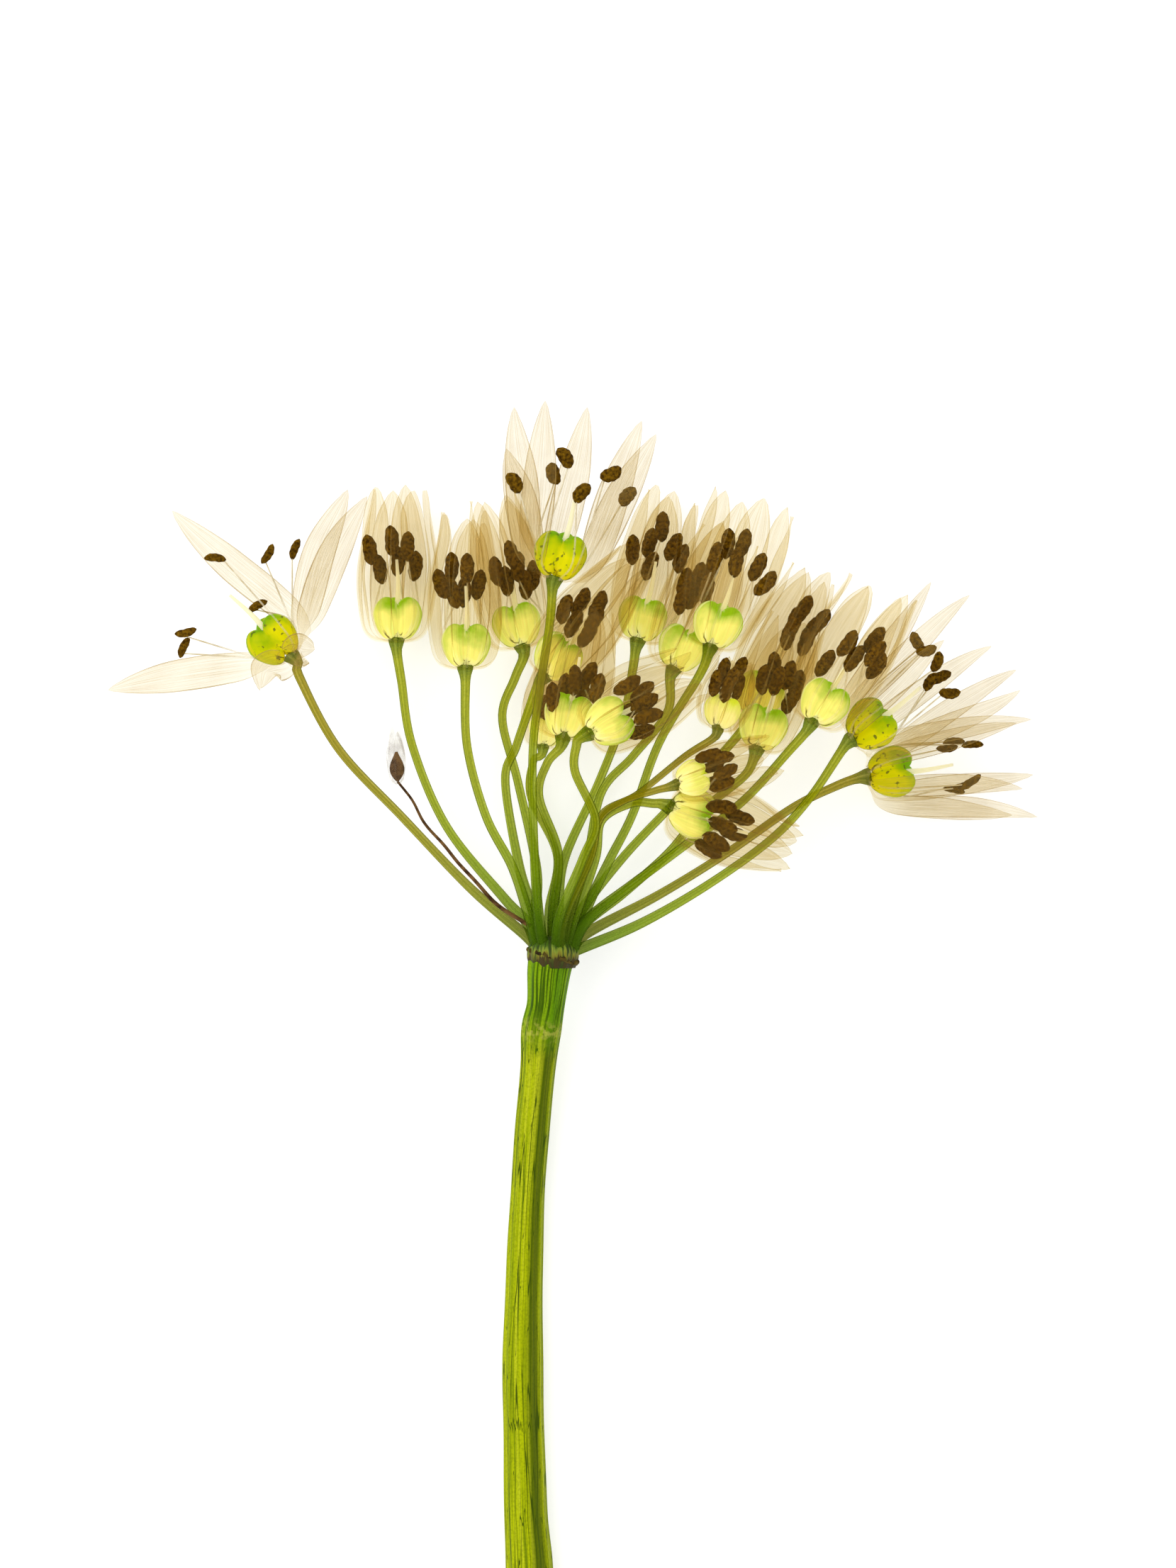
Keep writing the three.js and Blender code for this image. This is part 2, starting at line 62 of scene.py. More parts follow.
FLOWERS = [
    dict(foot=(-17.0, 17.9, 5.0), yaw=-45, pitch=8, tips=[
        (-24.8, 27.0, 6.5), (-29.0, 15.9, 1.2), (-12.2, 28.2, 7.4),
        (-13.2, 28.4, 10.6), (-15.4, 18.0, 13.6), (-18.6, 15.8, 13.2)]),
    dict(foot=(-10.3, 18.9, 2.8), yaw=0, pitch=0, roll=8),
    dict(foot=(-5.8, 17.1, 7.1), yaw=0, pitch=0, roll=22),
    dict(foot=(-2.2, 18.5, 2.8), yaw=-11, pitch=0, roll=4),
    dict(foot=(-0.1, 22.7, 11.7), yaw=14, pitch=6, tips=[
        (-2.9, 33.6, 12.4), (-0.7, 33.9, 15.2), (2.1, 33.7, 9.6),
        (5.3, 32.8, 12.0), (6.3, 31.8, 15.0), (-3.4, 31.0, 9.8)]),
    dict(foot=(-0.8, 16.6, 7.1), yaw=38, pitch=0, roll=15),
    dict(foot=(5.2, 18.9, 2.7), yaw=13, pitch=0, roll=26),
    dict(foot=(7.5, 17.0, 7.1), yaw=23, pitch=0, roll=10),
    dict(foot=(9.8, 18.4, 11.7), yaw=17, pitch=4, roll=18, mouth=2.4),
    dict(foot=(10.2, 13.2, 13.4), yaw=18, pitch=0, roll=0, length=4.6, mouth=0.9, young=True),
    dict(foot=(0.4, 12.6, 12.2), yaw=12, pitch=0, roll=20, length=8.6),
    dict(foot=(2.0, 12.9, 17.2), yaw=59, pitch=-5, roll=12, length=8.0),
    dict(foot=(-0.9, 12.1, 2.4), yaw=10, pitch=0, roll=25, length=5.8, mouth=0.9, young=True),
    dict(foot=(12.5, 14.1, 2.8), yaw=24, pitch=0, roll=6, length=10.3),
    dict(foot=(12.8, 11.9, 7.5), yaw=16, pitch=0, roll=17, length=8.6),
    dict(foot=(16.2, 13.6, 11.8), yaw=30, pitch=2, roll=2, mouth=2.2),
    dict(foot=(18.9, 12.5, 7.0), yaw=52, pitch=5, breadth=1.6, tips=[
        (24.0, 22.6, 7.6), (26.0, 22.0, 10.6), (27.7, 18.9, 4.4),
        (29.2, 17.2, 8.4), (29.7, 15.2, 11.0), (24.4, 19.0, 12.6)]),
    dict(foot=(20.0, 10.2, 2.8), yaw=82, pitch=0, breadth=1.5, tips=[
        (30.5, 14.3, 3.2), (30.8, 10.2, 0.8), (31.0, 8.0, 3.4),
        (29.4, 13.8, 6.6), (29.8, 9.8, 6.8), (29.4, 7.6, 1.2)]),
    dict(foot=(7.6, 9.7, 14.8), yaw=72, pitch=10, roll=14, length=6.4, mouth=1.2, young=True),
    dict(foot=(7.2, 8.3, 10.2), yaw=109, pitch=0, roll=9, length=8.4),
]

ROUTES = [
    [(-1.9, -0.1, 3.8), (-5.5, 3.0, 4.4), (-9.9, 7.6, 5.0), (-14.0, 12.0, 5.3), (-16.5, 16.6, 5.2)],
    [(-1.9, 0.8, 3.0), (-3.4, 2.4, 2.5), (-7.1, 7.0, 2.0), (-9.3, 12.2, 2.2), (-10.0, 16.4, 2.4)],
    [(-1.8, 1.4, 4.9), (-2.8, 4.4, 6.0), (-4.5, 7.7, 6.7), (-5.7, 12.2, 7.0)],
    [(-1.3, 1.4, 2.8), (-1.3, 4.4, 1.8), (-2.5, 9.9, 1.5), (-3.5, 14.0, 2.0), (-2.7, 16.5, 2.4)],
    [(-1.1, 0.9, 5.4), (-1.4, 5.1, 7.8), (-1.5, 11.6, 9.6), (-1.0, 16.0, 9.9), (-0.4, 20.0, 10.8)],
    [(-1.5, 1.5, 3.9), (-2.4, 4.4, 3.9), (-3.3, 9.9, 4.6), (-2.6, 12.1, 5.6), (-1.7, 14.7, 6.6)],
    [(0.1, 1.6, 2.6), (0.5, 4.9, 1.4), (2.7, 9.8, 1.1), (4.3, 14.0, 1.6), (4.9, 17.1, 2.3)],
    [(0.9, 1.4, 4.4), (2.0, 5.0, 4.6), (2.9, 9.2, 5.2), (4.9, 11.5, 6.1), (7.1, 14.3, 6.9)],
    [(1.9, 1.6, 4.3), (3.4, 4.8, 5.2), (4.9, 7.8, 6.4), (6.6, 12.4, 8.6), (9.1, 16.6, 11.0)],
    [(0.9, 1.4, 5.2), (2.1, 5.0, 6.9), (2.9, 7.8, 8.2), (5.2, 9.1, 9.7), (8.2, 11.5, 12.4)],
    [(-0.2, 1.7, 3.6), (0.1, 5.3, 3.2), (-1.1, 8.9, 6.0), (-0.6, 11.0, 9.4)],
    [(0.2, 1.2, 5.9), (1.7, 5.0, 9.6), (2.5, 7.4, 11.4), (1.2, 10.5, 14.4), (1.3, 12.2, 16.3)],
    [(-0.5, 1.6, 3.2), (0.0, 5.1, 2.2), (-1.7, 8.9, 2.9), (-1.5, 11.2, 2.5)],
    [(1.5, 1.4, 2.9), (4.2, 4.9, 1.9), (7.2, 8.1, 1.6), (10.4, 11.4, 1.9)],
    [(1.9, 0.8, 3.6), (4.3, 2.7, 3.8), (7.2, 5.3, 4.5), (9.5, 8.1, 5.4), (12.0, 10.2, 6.6)],
    [(1.9, 0.9, 4.8), (4.9, 3.3, 5.1), (8.0, 5.6, 5.9), (11.9, 8.6, 7.6), (14.9, 11.9, 10.2)],
    [(1.7, -0.8, 3.4), (5.5, 0.8, 4.0), (9.8, 3.3, 4.6), (13.8, 6.2, 5.3), (16.3, 8.9, 6.0)],
    [(1.9, 0.1, 2.8), (6.6, 2.6, 2.4), (11.0, 5.3, 2.3), (15.2, 8.2, 2.4), (18.0, 9.6, 2.6)],
    [(0.6, 1.3, 5.8), (2.2, 5.0, 8.4), (2.8, 7.5, 9.6), (4.2, 8.6, 11.2), (6.2, 9.3, 13.3)],
    [(1.2, 1.2, 4.9), (2.5, 5.0, 6.0), (2.9, 7.4, 7.1), (4.8, 8.5, 8.2), (6.2, 8.5, 9.4)],
]

THREAD_ROUTE = [
    (-1.7, 0.6, 4.6), (-3.9, 2.1, 5.6), (-6.0, 4.4, 5.9), (-8.0, 6.7, 5.9),
    (-9.4, 8.8, 5.8), (-10.1, 9.9, 5.8),
]

# Where each flower's six pollen sacs lie, as (x, y) from above.
ANTHERS = [
    [(-18.4, 24.4), (-16.8, 24.8), (-23.7, 19.4), (-23.9, 18.5), (-21.8, 24.2), (-19.2, 21.2)],
    [(-12.0, 24.8), (-11.4, 23.6), (-10.6, 25.4), (-10.2, 24.1), (-9.6, 25.0), (-9.1, 23.8)],
    [(-7.4, 22.5), (-6.7, 23.6), (-6.6, 21.9), (-5.9, 22.0), (-5.7, 23.5), (-5.0, 22.5)],
    [(-3.9, 23.4), (-2.9, 24.5), (-3.2, 22.8), (-2.0, 22.6), (-2.5, 23.7), (-1.5, 23.2)],
    [(-2.6, 28.8), (-0.2, 29.4), (0.6, 30.4), (1.6, 28.2), (3.5, 29.3), (4.5, 28.0)],
    [(0.5, 20.9), (1.6, 21.4), (2.4, 20.2), (1.1, 20.0), (2.0, 19.3), (2.7, 21.2)],
    [(4.9, 24.8), (6.0, 25.3), (6.8, 26.3), (6.0, 23.8), (7.5, 25.0), (8.0, 24.3)],
    [(8.0, 21.5), (9.1, 23.0), (9.6, 22.2), (8.8, 21.8), (8.2, 22.6), (9.9, 23.4)],
    [(10.1, 24.1), (10.9, 25.0), (11.4, 23.8), (12.8, 23.5), (13.3, 22.4), (11.9, 25.0)],
    [(10.1, 16.1), (10.6, 16.9), (11.1, 16.4), (11.6, 17.0), (10.8, 15.7), (11.5, 15.9)],
    [(-0.2, 15.2), (0.5, 15.8), (1.2, 16.3), (2.0, 16.6), (2.6, 15.8), (1.6, 15.0)],
    [(4.5, 15.9), (5.4, 15.5), (5.6, 14.8), (4.4, 14.2), (5.8, 14.0), (5.3, 13.0)],
    [(-0.8, 14.6), (-0.4, 15.3), (0.1, 15.4), (0.4, 14.7), (-0.2, 14.3), (0.6, 15.2)],
    [(15.3, 20.2), (17.0, 20.2), (15.9, 21.0), (16.4, 19.6), (14.9, 19.3), (16.1, 18.9)],
    [(14.1, 16.3), (15.0, 15.1), (13.9, 17.2), (14.8, 16.7), (13.2, 16.4), (15.4, 16.1)],
    [(18.5, 18.6), (17.1, 17.4), (18.9, 17.7), (20.2, 18.9), (20.2, 18.0), (20.4, 17.2)],
    [(23.6, 18.2), (23.9, 16.3), (25.1, 15.5), (23.0, 18.8), (24.3, 17.5), (24.6, 16.6)],
    [(25.1, 12.0), (26.8, 12.3), (26.2, 9.6), (25.6, 9.4), (26.7, 9.9), (25.6, 12.5)],
    [(9.6, 11.5), (9.9, 10.8), (10.7, 10.5), (10.5, 9.7), (10.4, 11.4), (9.8, 10.0)],
    [(10.5, 8.3), (11.7, 7.6), (10.6, 7.1), (11.2, 6.6), (10.2, 6.1), (9.7, 5.6)],
]

# How far the pollen sacs of the open flowers lean from +Y towards +X, in degrees.
SAC_LEANS = {
    1: (30, 20, 77, 24, -86, 60),
    5: (-32, -16, -33, 39, 64, 37),
    17: (75, 35, 89, -30, 20, 60),
    18: (84, 86, 72, 100, 60, 85),
}

# Length and width of the pollen sacs of the open flowers.
SAC_SIZES = {1: (1.45, 0.53), 5: (1.5, 0.9), 17: (1.4, 0.7), 18: (1.45, 0.5)}

# Flowers whose stalk is more olive than green.
OLIVE_STALKS = (1, 10, 18, 19)


class Slot(Enum):
    """The record's material slots."""

    SCAPE = "scape_green"
    BASE = "base_green"
    PEDICEL = "pedicel_green"
    TEPAL = "tepal_white"
    OVARY = "ovary_green"
    ANTHER = "anther_brown"
    WITHERED = "withered_brown"


class Openness(Enum):
    """How far a flower has opened."""

    BUD = "bud"
    BELL = "bell"
    STAR = "star"


# ------------------------------------------------------------------ curves and surfaces


def unit(vectors: np.ndarray) -> np.ndarray:
    """Vectors scaled to length one along the last axis."""
    return vectors / np.maximum(np.linalg.norm(vectors, axis=-1, keepdims=True), 1e-12)


def smooth_line(points: Sequence[Sequence[float]], count: int) -> np.ndarray:
    """Even steps along a Catmull-Rom line through points.

    Between two points the line is a cubic whose end slopes are half the step between the
    neighbours on either side; the dense cubic samples are then re-spaced by arc length.

    Args:
        points: the places that the line passes through.
        count: how many samples to return.

    Returns:
        An array of count rows.
    """
    knots = np.asarray(points, dtype=float)
    padded = np.vstack([2 * knots[0] - knots[1], knots, 2 * knots[-1] - knots[-2]])
    before, first, second, after = (padded[i:len(padded) - 3 + i, None, :] for i in range(4))
    t = np.linspace(0, 1, 24, endpoint=False)[None, :, None]
    cubic = 0.5 * (
        2 * first + (second - before) * t + (2 * before - 5 * first + 4 * second - after) * t**2
        + (3 * first - before - 3 * second + after) * t**3
    )
    dense = np.vstack([cubic.reshape(-1, knots.shape[1]), knots[-1]])
    arc = np.concatenate([[0], np.cumsum(np.linalg.norm(np.diff(dense, axis=0), axis=1))])
    wanted = np.linspace(0, arc[-1], count)
    return np.stack([np.interp(wanted, arc, dense[:, k]) for k in range(dense.shape[1])], axis=1)


def line_length(line: np.ndarray) -> float:
    """Length of a polyline."""
    return float(np.linalg.norm(np.diff(line, axis=0), axis=1).sum())


def cross_frame(line: np.ndarray) -> tuple[np.ndarray, np.ndarray, np.ndarray]:
    """Directions along and across a line.

    Args:
        line: rows x 3 places.

    Returns:
        Forward, the level side and the up that stands on both, a row for each place.
    """
    forward = unit(np.gradient(line, axis=0))
    side = unit(np.cross(forward, np.array([0.0, 0.0, 1.0])))
    return forward, side, np.cross(side, forward)


@dataclass
class Surface:
    """Grids of points that are closed around, gathered into one mesh."""

    points: list = field(default_factory=list)
    faces: list = field(default_factory=list)
    corners: list = field(default_factory=list)
    marks: list = field(default_factory=list)
    count: int = 0

    def add(self, grid: np.ndarray, u: np.ndarray, v: np.ndarray, mark: float = 0.0) -> None:
        """Adds a grid whose columns close into rings and whose end rings are capped.

        Args:
            grid: rows x columns x 3 places in millimetres.
            u: columns + 1 texture values around a ring.
            v: rows texture values along the grid.
            mark: a number that every vertex of the grid carries.
        """
        rows, columns, _ = grid.shape
        row, column = np.meshgrid(np.arange(rows - 1), np.arange(columns), indexing="ij")
        following = (column + 1) % columns
        quads = np.stack([
            row * columns + column, row * columns + following,
            (row + 1) * columns + following, (row + 1) * columns + column,
        ], axis=-1).reshape(-1, 4)
        uv = np.stack([
            np.stack([u[column], v[row]], -1), np.stack([u[column + 1], v[row]], -1),
            np.stack([u[column + 1], v[row + 1]], -1), np.stack([u[column], v[row + 1]], -1),
        ], axis=2).reshape(-1, 4, 2)
        flat = grid.reshape(-1, 3)
        a, b, c, d = (flat[quads[:, k]] for k in range(4))
        centre = flat.mean(axis=0)
        volume = np.einsum("ij,ij->", np.cross(c - a, d - b) / 2, (a + b + c + d) / 4 - centre)
        ring = np.arange(columns)
        caps = [ring[::-1], ring + (rows - 1) * columns]
        cap_uv = [np.stack([u[:-1][::-1], np.full(columns, v[0])], -1),
                  np.stack([u[:-1], np.full(columns, v[-1])], -1)]
        if volume < 0:
            quads, uv = quads[:, ::-1], uv[:, ::-1]
            caps, cap_uv = [c[::-1] for c in caps], [c[::-1] for c in cap_uv]
        self.points.append(flat)
        self.faces.extend((quads + self.count).tolist())
        self.faces.extend((cap + self.count).tolist() for cap in caps)
        self.corners.append(uv.reshape(-1, 2))
        self.corners.extend(cap_uv)
        self.marks.append(np.full(len(flat), mark))
        self.count += len(flat)

    def build(self, name: str, material: bpy.types.Material, slot: Slot,
              replaced: Sequence[str] = ()) -> bpy.types.Object:
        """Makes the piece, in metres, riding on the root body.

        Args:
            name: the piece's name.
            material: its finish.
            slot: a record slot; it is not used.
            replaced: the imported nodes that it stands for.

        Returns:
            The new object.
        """
        mesh = bpy.data.meshes.new(name)
        places = (np.vstack(self.points) + PLANT_SHIFT) * MM
        mesh.from_pydata(places.tolist(), [], self.faces)
        layer = mesh.uv_layers.new(name="UVMap")
        layer.data.foreach_set("uv", np.vstack(self.corners).astype(np.float32).ravel())
        attribute = mesh.attributes.new("mark", "FLOAT", "POINT")
        attribute.data.foreach_set("value", np.concatenate(self.marks).astype(np.float32))
        mesh.polygons.foreach_set("use_smooth", np.ones(len(mesh.polygons), dtype=bool))
        mesh.materials.append(material)
        mesh.update()
        piece = bpy.data.objects.new(name, mesh)
        bpy.context.scene.collection.objects.link(piece)
        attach(piece, "root")
        if replaced:
            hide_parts(*replaced)
        LOG.info("%s: %d faces", name, len(mesh.polygons))
        return piece


def tube_grid(line: np.ndarray, radii: np.ndarray, sides: int, ribs: int = 0,
              rib_depth: float = 0.0, phase: float = 0.0) -> np.ndarray:
    """A round section carried along a line.

    Each ring is a circle across the line with the radius of its row, times
    1 + rib_depth * cos(ribs * angle + phase) for lengthwise ribs.

    Args:
        line: rows x 3 places.
        radii: the radius of each row.
        sides: points around.
        ribs: number of lengthwise ribs.
        rib_depth: their depth as a share of the radius.
        phase: where the first rib stands.

    Returns:
        A grid of rows x sides x 3.
    """
    _, side, up = cross_frame(line)
    angle = np.linspace(0, 2 * math.pi, sides, endpoint=False)
    swell = 1 + rib_depth * np.cos(ribs * angle + phase)
    ring_x = (np.cos(angle) * swell)[None, :, None] * side[:, None, :]
    ring_y = (np.sin(angle) * swell)[None, :, None] * up[:, None, :]
    return line[:, None, :] + radii[:, None, None] * (ring_x + ring_y)


# ------------------------------------------------------------------ materials


class Nodes:
    """A short hand for building a material's node tree."""

    def __init__(self, name: str) -> None:
        """Starts an empty material with an output node.

        Args:
            name: the material's name.
        """
        self.material = bpy.data.materials.new(name)
        self.material.use_nodes = True
        self.tree = self.material.node_tree
        self.tree.nodes.clear()
        self.output = self.tree.nodes.new("ShaderNodeOutputMaterial")

    def put(self, socket: bpy.types.NodeSocket, value: object) -> None:
        """Links a socket or sets a plain value on it.

        Args:
            socket: the input to fill.
            value: another node's output, or a plain value.
        """
        if isinstance(value, bpy.types.NodeSocket):
            self.tree.links.new(value, socket)
        else:
            socket.default_value = value

    def add(self, kind: str, inputs: Optional[dict] = None, **settings: object) -> bpy.types.Node:
        """Adds a node.

        Args:
            kind: the node type without its ShaderNode prefix.
            inputs: what to link to or set on its inputs.
            settings: its properties.

        Returns:
            The node.
        """
        node = self.tree.nodes.new("ShaderNode" + kind)
        for key, value in settings.items():
            setattr(node, key, value)
        for key, value in (inputs or {}).items():
            self.put(node.inputs[key], value)
        return node

    def math(self, operation: str, first: object, second: object = 0.0) -> bpy.types.NodeSocket:
        """One arithmetic step."""
        return self.add("Math", {0: first, 1: second}, operation=operation).outputs[0]

    def product(self, first: object, second: object) -> bpy.types.NodeSocket:
        """Two values multiplied."""
        return self.math("MULTIPLY", first, second)

    def sum(self, first: object, second: object) -> bpy.types.NodeSocket:
        """Two values added."""
        return self.math("ADD", first, second)

    def distance(self, value: object, place: float) -> bpy.types.NodeSocket:
        """How far a value is from a place."""
        return self.math("ABSOLUTE", self.math("SUBTRACT", value, place))

    def flank(self, u: bpy.types.NodeSocket) -> bpy.types.NodeSocket:
        """The absolute cosine of a full turn of u: one on the two sides, zero above and below."""
        return self.math("ABSOLUTE", self.math("COSINE", self.product(u, 2 * math.pi)))

    def uv(self) -> tuple[bpy.types.NodeSocket, bpy.types.NodeSocket]:
        """The two values of the piece's own UV map.

        Returns:
            The one around the piece and the one along it.
        """
        node = self.add("UVMap", uv_map="UVMap")
        split = self.add("SeparateXYZ", {0: node.outputs[0]})
        return split.outputs[0], split.outputs[1]

    def noise(self, scale: float, detail: float = 2.0, stretch: Optional[tuple] = None,
              on_uv: bool = False) -> bpy.types.NodeSocket:
        """A noise value from zero to one.

        Args:
            scale: how fine the noise is.
            detail: how many finer layers it has.
            stretch: a factor on each coordinate.
            on_uv: whether it lies on the UV map and not on object coordinates.

        Returns:
            The noise.
        """
        if on_uv:
            place = self.add("UVMap", uv_map="UVMap").outputs[0]
        else:
            place = self.add("TexCoord").outputs["Object"]
        if stretch:
            place = self.add("Mapping", {"Vector": place, "Scale": stretch}).outputs[0]
        return self.add("TexNoise", {"Vector": place, "Scale": scale, "Detail": detail}).outputs[0]

    def ramp(self, value: object, stops: Sequence[tuple]) -> bpy.types.NodeSocket:
        """A colour ramp.

        Args:
            value: where on the ramp to read.
            stops: pairs of a place and a colour.

        Returns:
            The colour at that place.
        """
        node = self.add("ValToRGB", {0: value})
        ramp = node.color_ramp
        while len(ramp.elements) < len(stops):
            ramp.elements.new(0.5)
        for element, (place, colour) in zip(ramp.elements, stops):
            element.position = place
            element.color = (*colour, 1.0)
        return node.outputs[0]

    def levels(self, value: object, low: float, high: float, out_low: float,
               out_high: float) -> bpy.types.NodeSocket:
        """A value moved from the range low to high into out_low to out_high, and kept there."""
        node = self.add("MapRange", {0: value, 1: low, 2: high, 3: out_low, 4: out_high})
        return node.outputs[0]

    def mix(self, share: object, first: object, second: object) -> bpy.types.NodeSocket:
        """Two colours mixed.

        Args:
            share: how much of the second colour is taken.
            first: a colour or a socket.
            second: a colour or a socket.

        Returns:
            The mixed colour.
        """
        node = self.add("Mix", data_type="RGBA")
        self.put(node.inputs[0], share)
        for socket, value in ((node.inputs[6], first), (node.inputs[7], second)):
            self.put(socket, (*value, 1.0) if isinstance(value, tuple) else value)
        return node.outputs[2]

    def blend(self, share: object, first: bpy.types.NodeSocket,
              second: bpy.types.NodeSocket) -> bpy.types.NodeSocket:
        """Two shaders mixed."""
        return self.add("MixShader", {0: share, 1: first, 2: second}).outputs[0]

    def finish(self, shader: bpy.types.NodeSocket) -> bpy.types.Material:
        """Sends the shader to the output and returns the material."""
        self.put(self.output.inputs[0], shader)
        return self.material


@dataclass(frozen=True)
class TepalFinish:
    """Thin creamy petal tissue: see-through, with fine lengthwise veins and a darker rim of painted
    shade, where light crosses the blade edgewise.
    """

    name: str
    cover: float
    tissue: tuple = (0.52, 0.39, 0.15)
    tissue_vein: tuple = (0.42, 0.27, 0.06)
    passed: tuple = (0.984, 0.968, 0.915)
    passed_vein: tuple = (0.945, 0.9, 0.77)

    def material(self) -> bpy.types.Material:
        """Builds the material.

        Returns:
            The new material.
        """
        n = Nodes(self.name)
        u, v = n.uv()
        across = n.distance(n.product(u, 2.0), 1.0)
        veins = n.noise(1.0, 3.0, (58.0, 1.5, 1.0), on_uv=True)
        vein = n.levels(veins, 0.42, 0.64, 0.7, 1.75)
        cloud = n.levels(n.noise(500.0, 3.0), 0.3, 0.7, 0.7, 1.35)
        # Painted shade: the blade is covered more, up to 4.2 times, towards its two edges.
        painted_rim_shade = n.levels(across, 0.9, 1.0, 1.0, 4.2)
        foot = n.levels(v, 0.1, 0.38, 0.16, 1.0)
        cover = n.product(n.product(vein, cloud), self.cover)
        cover = n.math("MINIMUM", n.product(n.product(cover, painted_rim_shade), foot), 0.6)
        tissue = n.mix(n.levels(veins, 0.4, 0.7, 0.0, 1.0), self.tissue, self.tissue_vein)
        bump = n.add("Bump", {"Strength": 0.35, "Distance": 0.00005, "Height": veins}).outputs[0]
        solid = n.add("BsdfPrincipled", {"Base Color": tissue, "Roughness": 0.6, "Normal": bump,
                                         "Specular IOR Level": 0.15})
        glow = n.add("BsdfTranslucent", {"Color": tissue, "Normal": bump}).outputs[0]
        body = n.blend(0.55, solid.outputs[0], glow)
        dense = n.product(n.levels(veins, 0.42, 0.62, 0.15, 1.0),
                       n.levels(v, 0.1, 0.38, 0.2, 1.0))
        # Painted shade: the colour let through is darker towards the two edges of the blade.
        edge = n.product(n.levels(across, 0.9, 0.97, 0.0, 1.6),
                      n.levels(v, 0.1, 0.38, 0.1, 1.0))
        let_through = n.mix(n.math("MAXIMUM", dense, edge), self.passed, self.passed_vein)
        clear = n.add("BsdfTransparent", {"Color": let_through}).outputs[0]
        return n.finish(n.blend(cover, clear, body))


@dataclass(frozen=True)
class StalkFinish:
    """Thin green stalk: lengthwise lines, olive above and dark where it meets the flower."""

    name: str
    low: tuple
    high: tuple
    cover: float = 0.56
    passed: tuple = (0.82, 0.87, 0.4)
    dark_line: tuple = (0.07, 0.12, 0.002)
    light_line: tuple = (0.8, 0.84, 0.3)
    # Painted shade for the two level sides of the stalk.
    painted_side_shade: tuple = (0.1, 0.14, 0.002)
    cone_tone: tuple = (0.05, 0.13, 0.003)
    foot_tone: tuple = (0.07, 0.17, 0.006)

    def material(self) -> bpy.types.Material:
        """Builds the material.

        Returns:
            The new material.
        """
        n = Nodes(self.name)
        u, v = n.uv()
        flank = n.flank(u)
        lines = n.noise(1.0, 3.0, (16.0, 1.1, 1.0), on_uv=True)
        colour = n.mix(n.levels(v, 0.1, 0.7, 0.0, 1.0), self.low, self.high)
        dark = n.mix(0.75, colour, self.dark_line)
        colour = n.mix(n.levels(lines, 0.5, 0.6, 0.0, 0.9), colour, dark)
        light = n.mix(0.6, colour, self.light_line)
        colour = n.mix(n.levels(lines, 0.46, 0.36, 0.0, 0.8), colour, light)
        grain = n.noise(7000.0, 2.0)
        colour = n.mix(n.levels(grain, 0.45, 0.7, 0.0, 0.45), colour, dark)
        # Painted shade: the two level sides of the stalk are darkened.
        colour = n.mix(n.levels(flank, 0.74, 0.96, 0.0, 0.8), colour, self.painted_side_shade)
        colour = n.mix(n.levels(v, 0.94, 0.99, 0.0, 0.88), colour, self.cone_tone)
        colour = n.mix(n.levels(v, 0.24, 0.0, 0.0, 0.85), colour, self.foot_tone)
        cover = n.levels(lines, 0.36, 0.62, self.cover - 0.1, min(self.cover + 0.14, 1.0))
        bump = n.add("Bump", {"Strength": 0.4, "Distance": 0.00006, "Height": lines}).outputs[0]
        solid = n.add("BsdfPrincipled", {"Base Color": colour, "Roughness": 0.5, "Normal": bump,
                                         "Specular IOR Level": 0.04})
        glow = n.add("BsdfTranslucent", {"Color": colour, "Normal": bump}).outputs[0]
        body = n.blend(0.45, solid.outputs[0], glow)
        clear = n.add("BsdfTransparent", {"Color": (*self.passed, 1.0)}).outputs[0]
        return n.finish(n.blend(cover, clear, body))


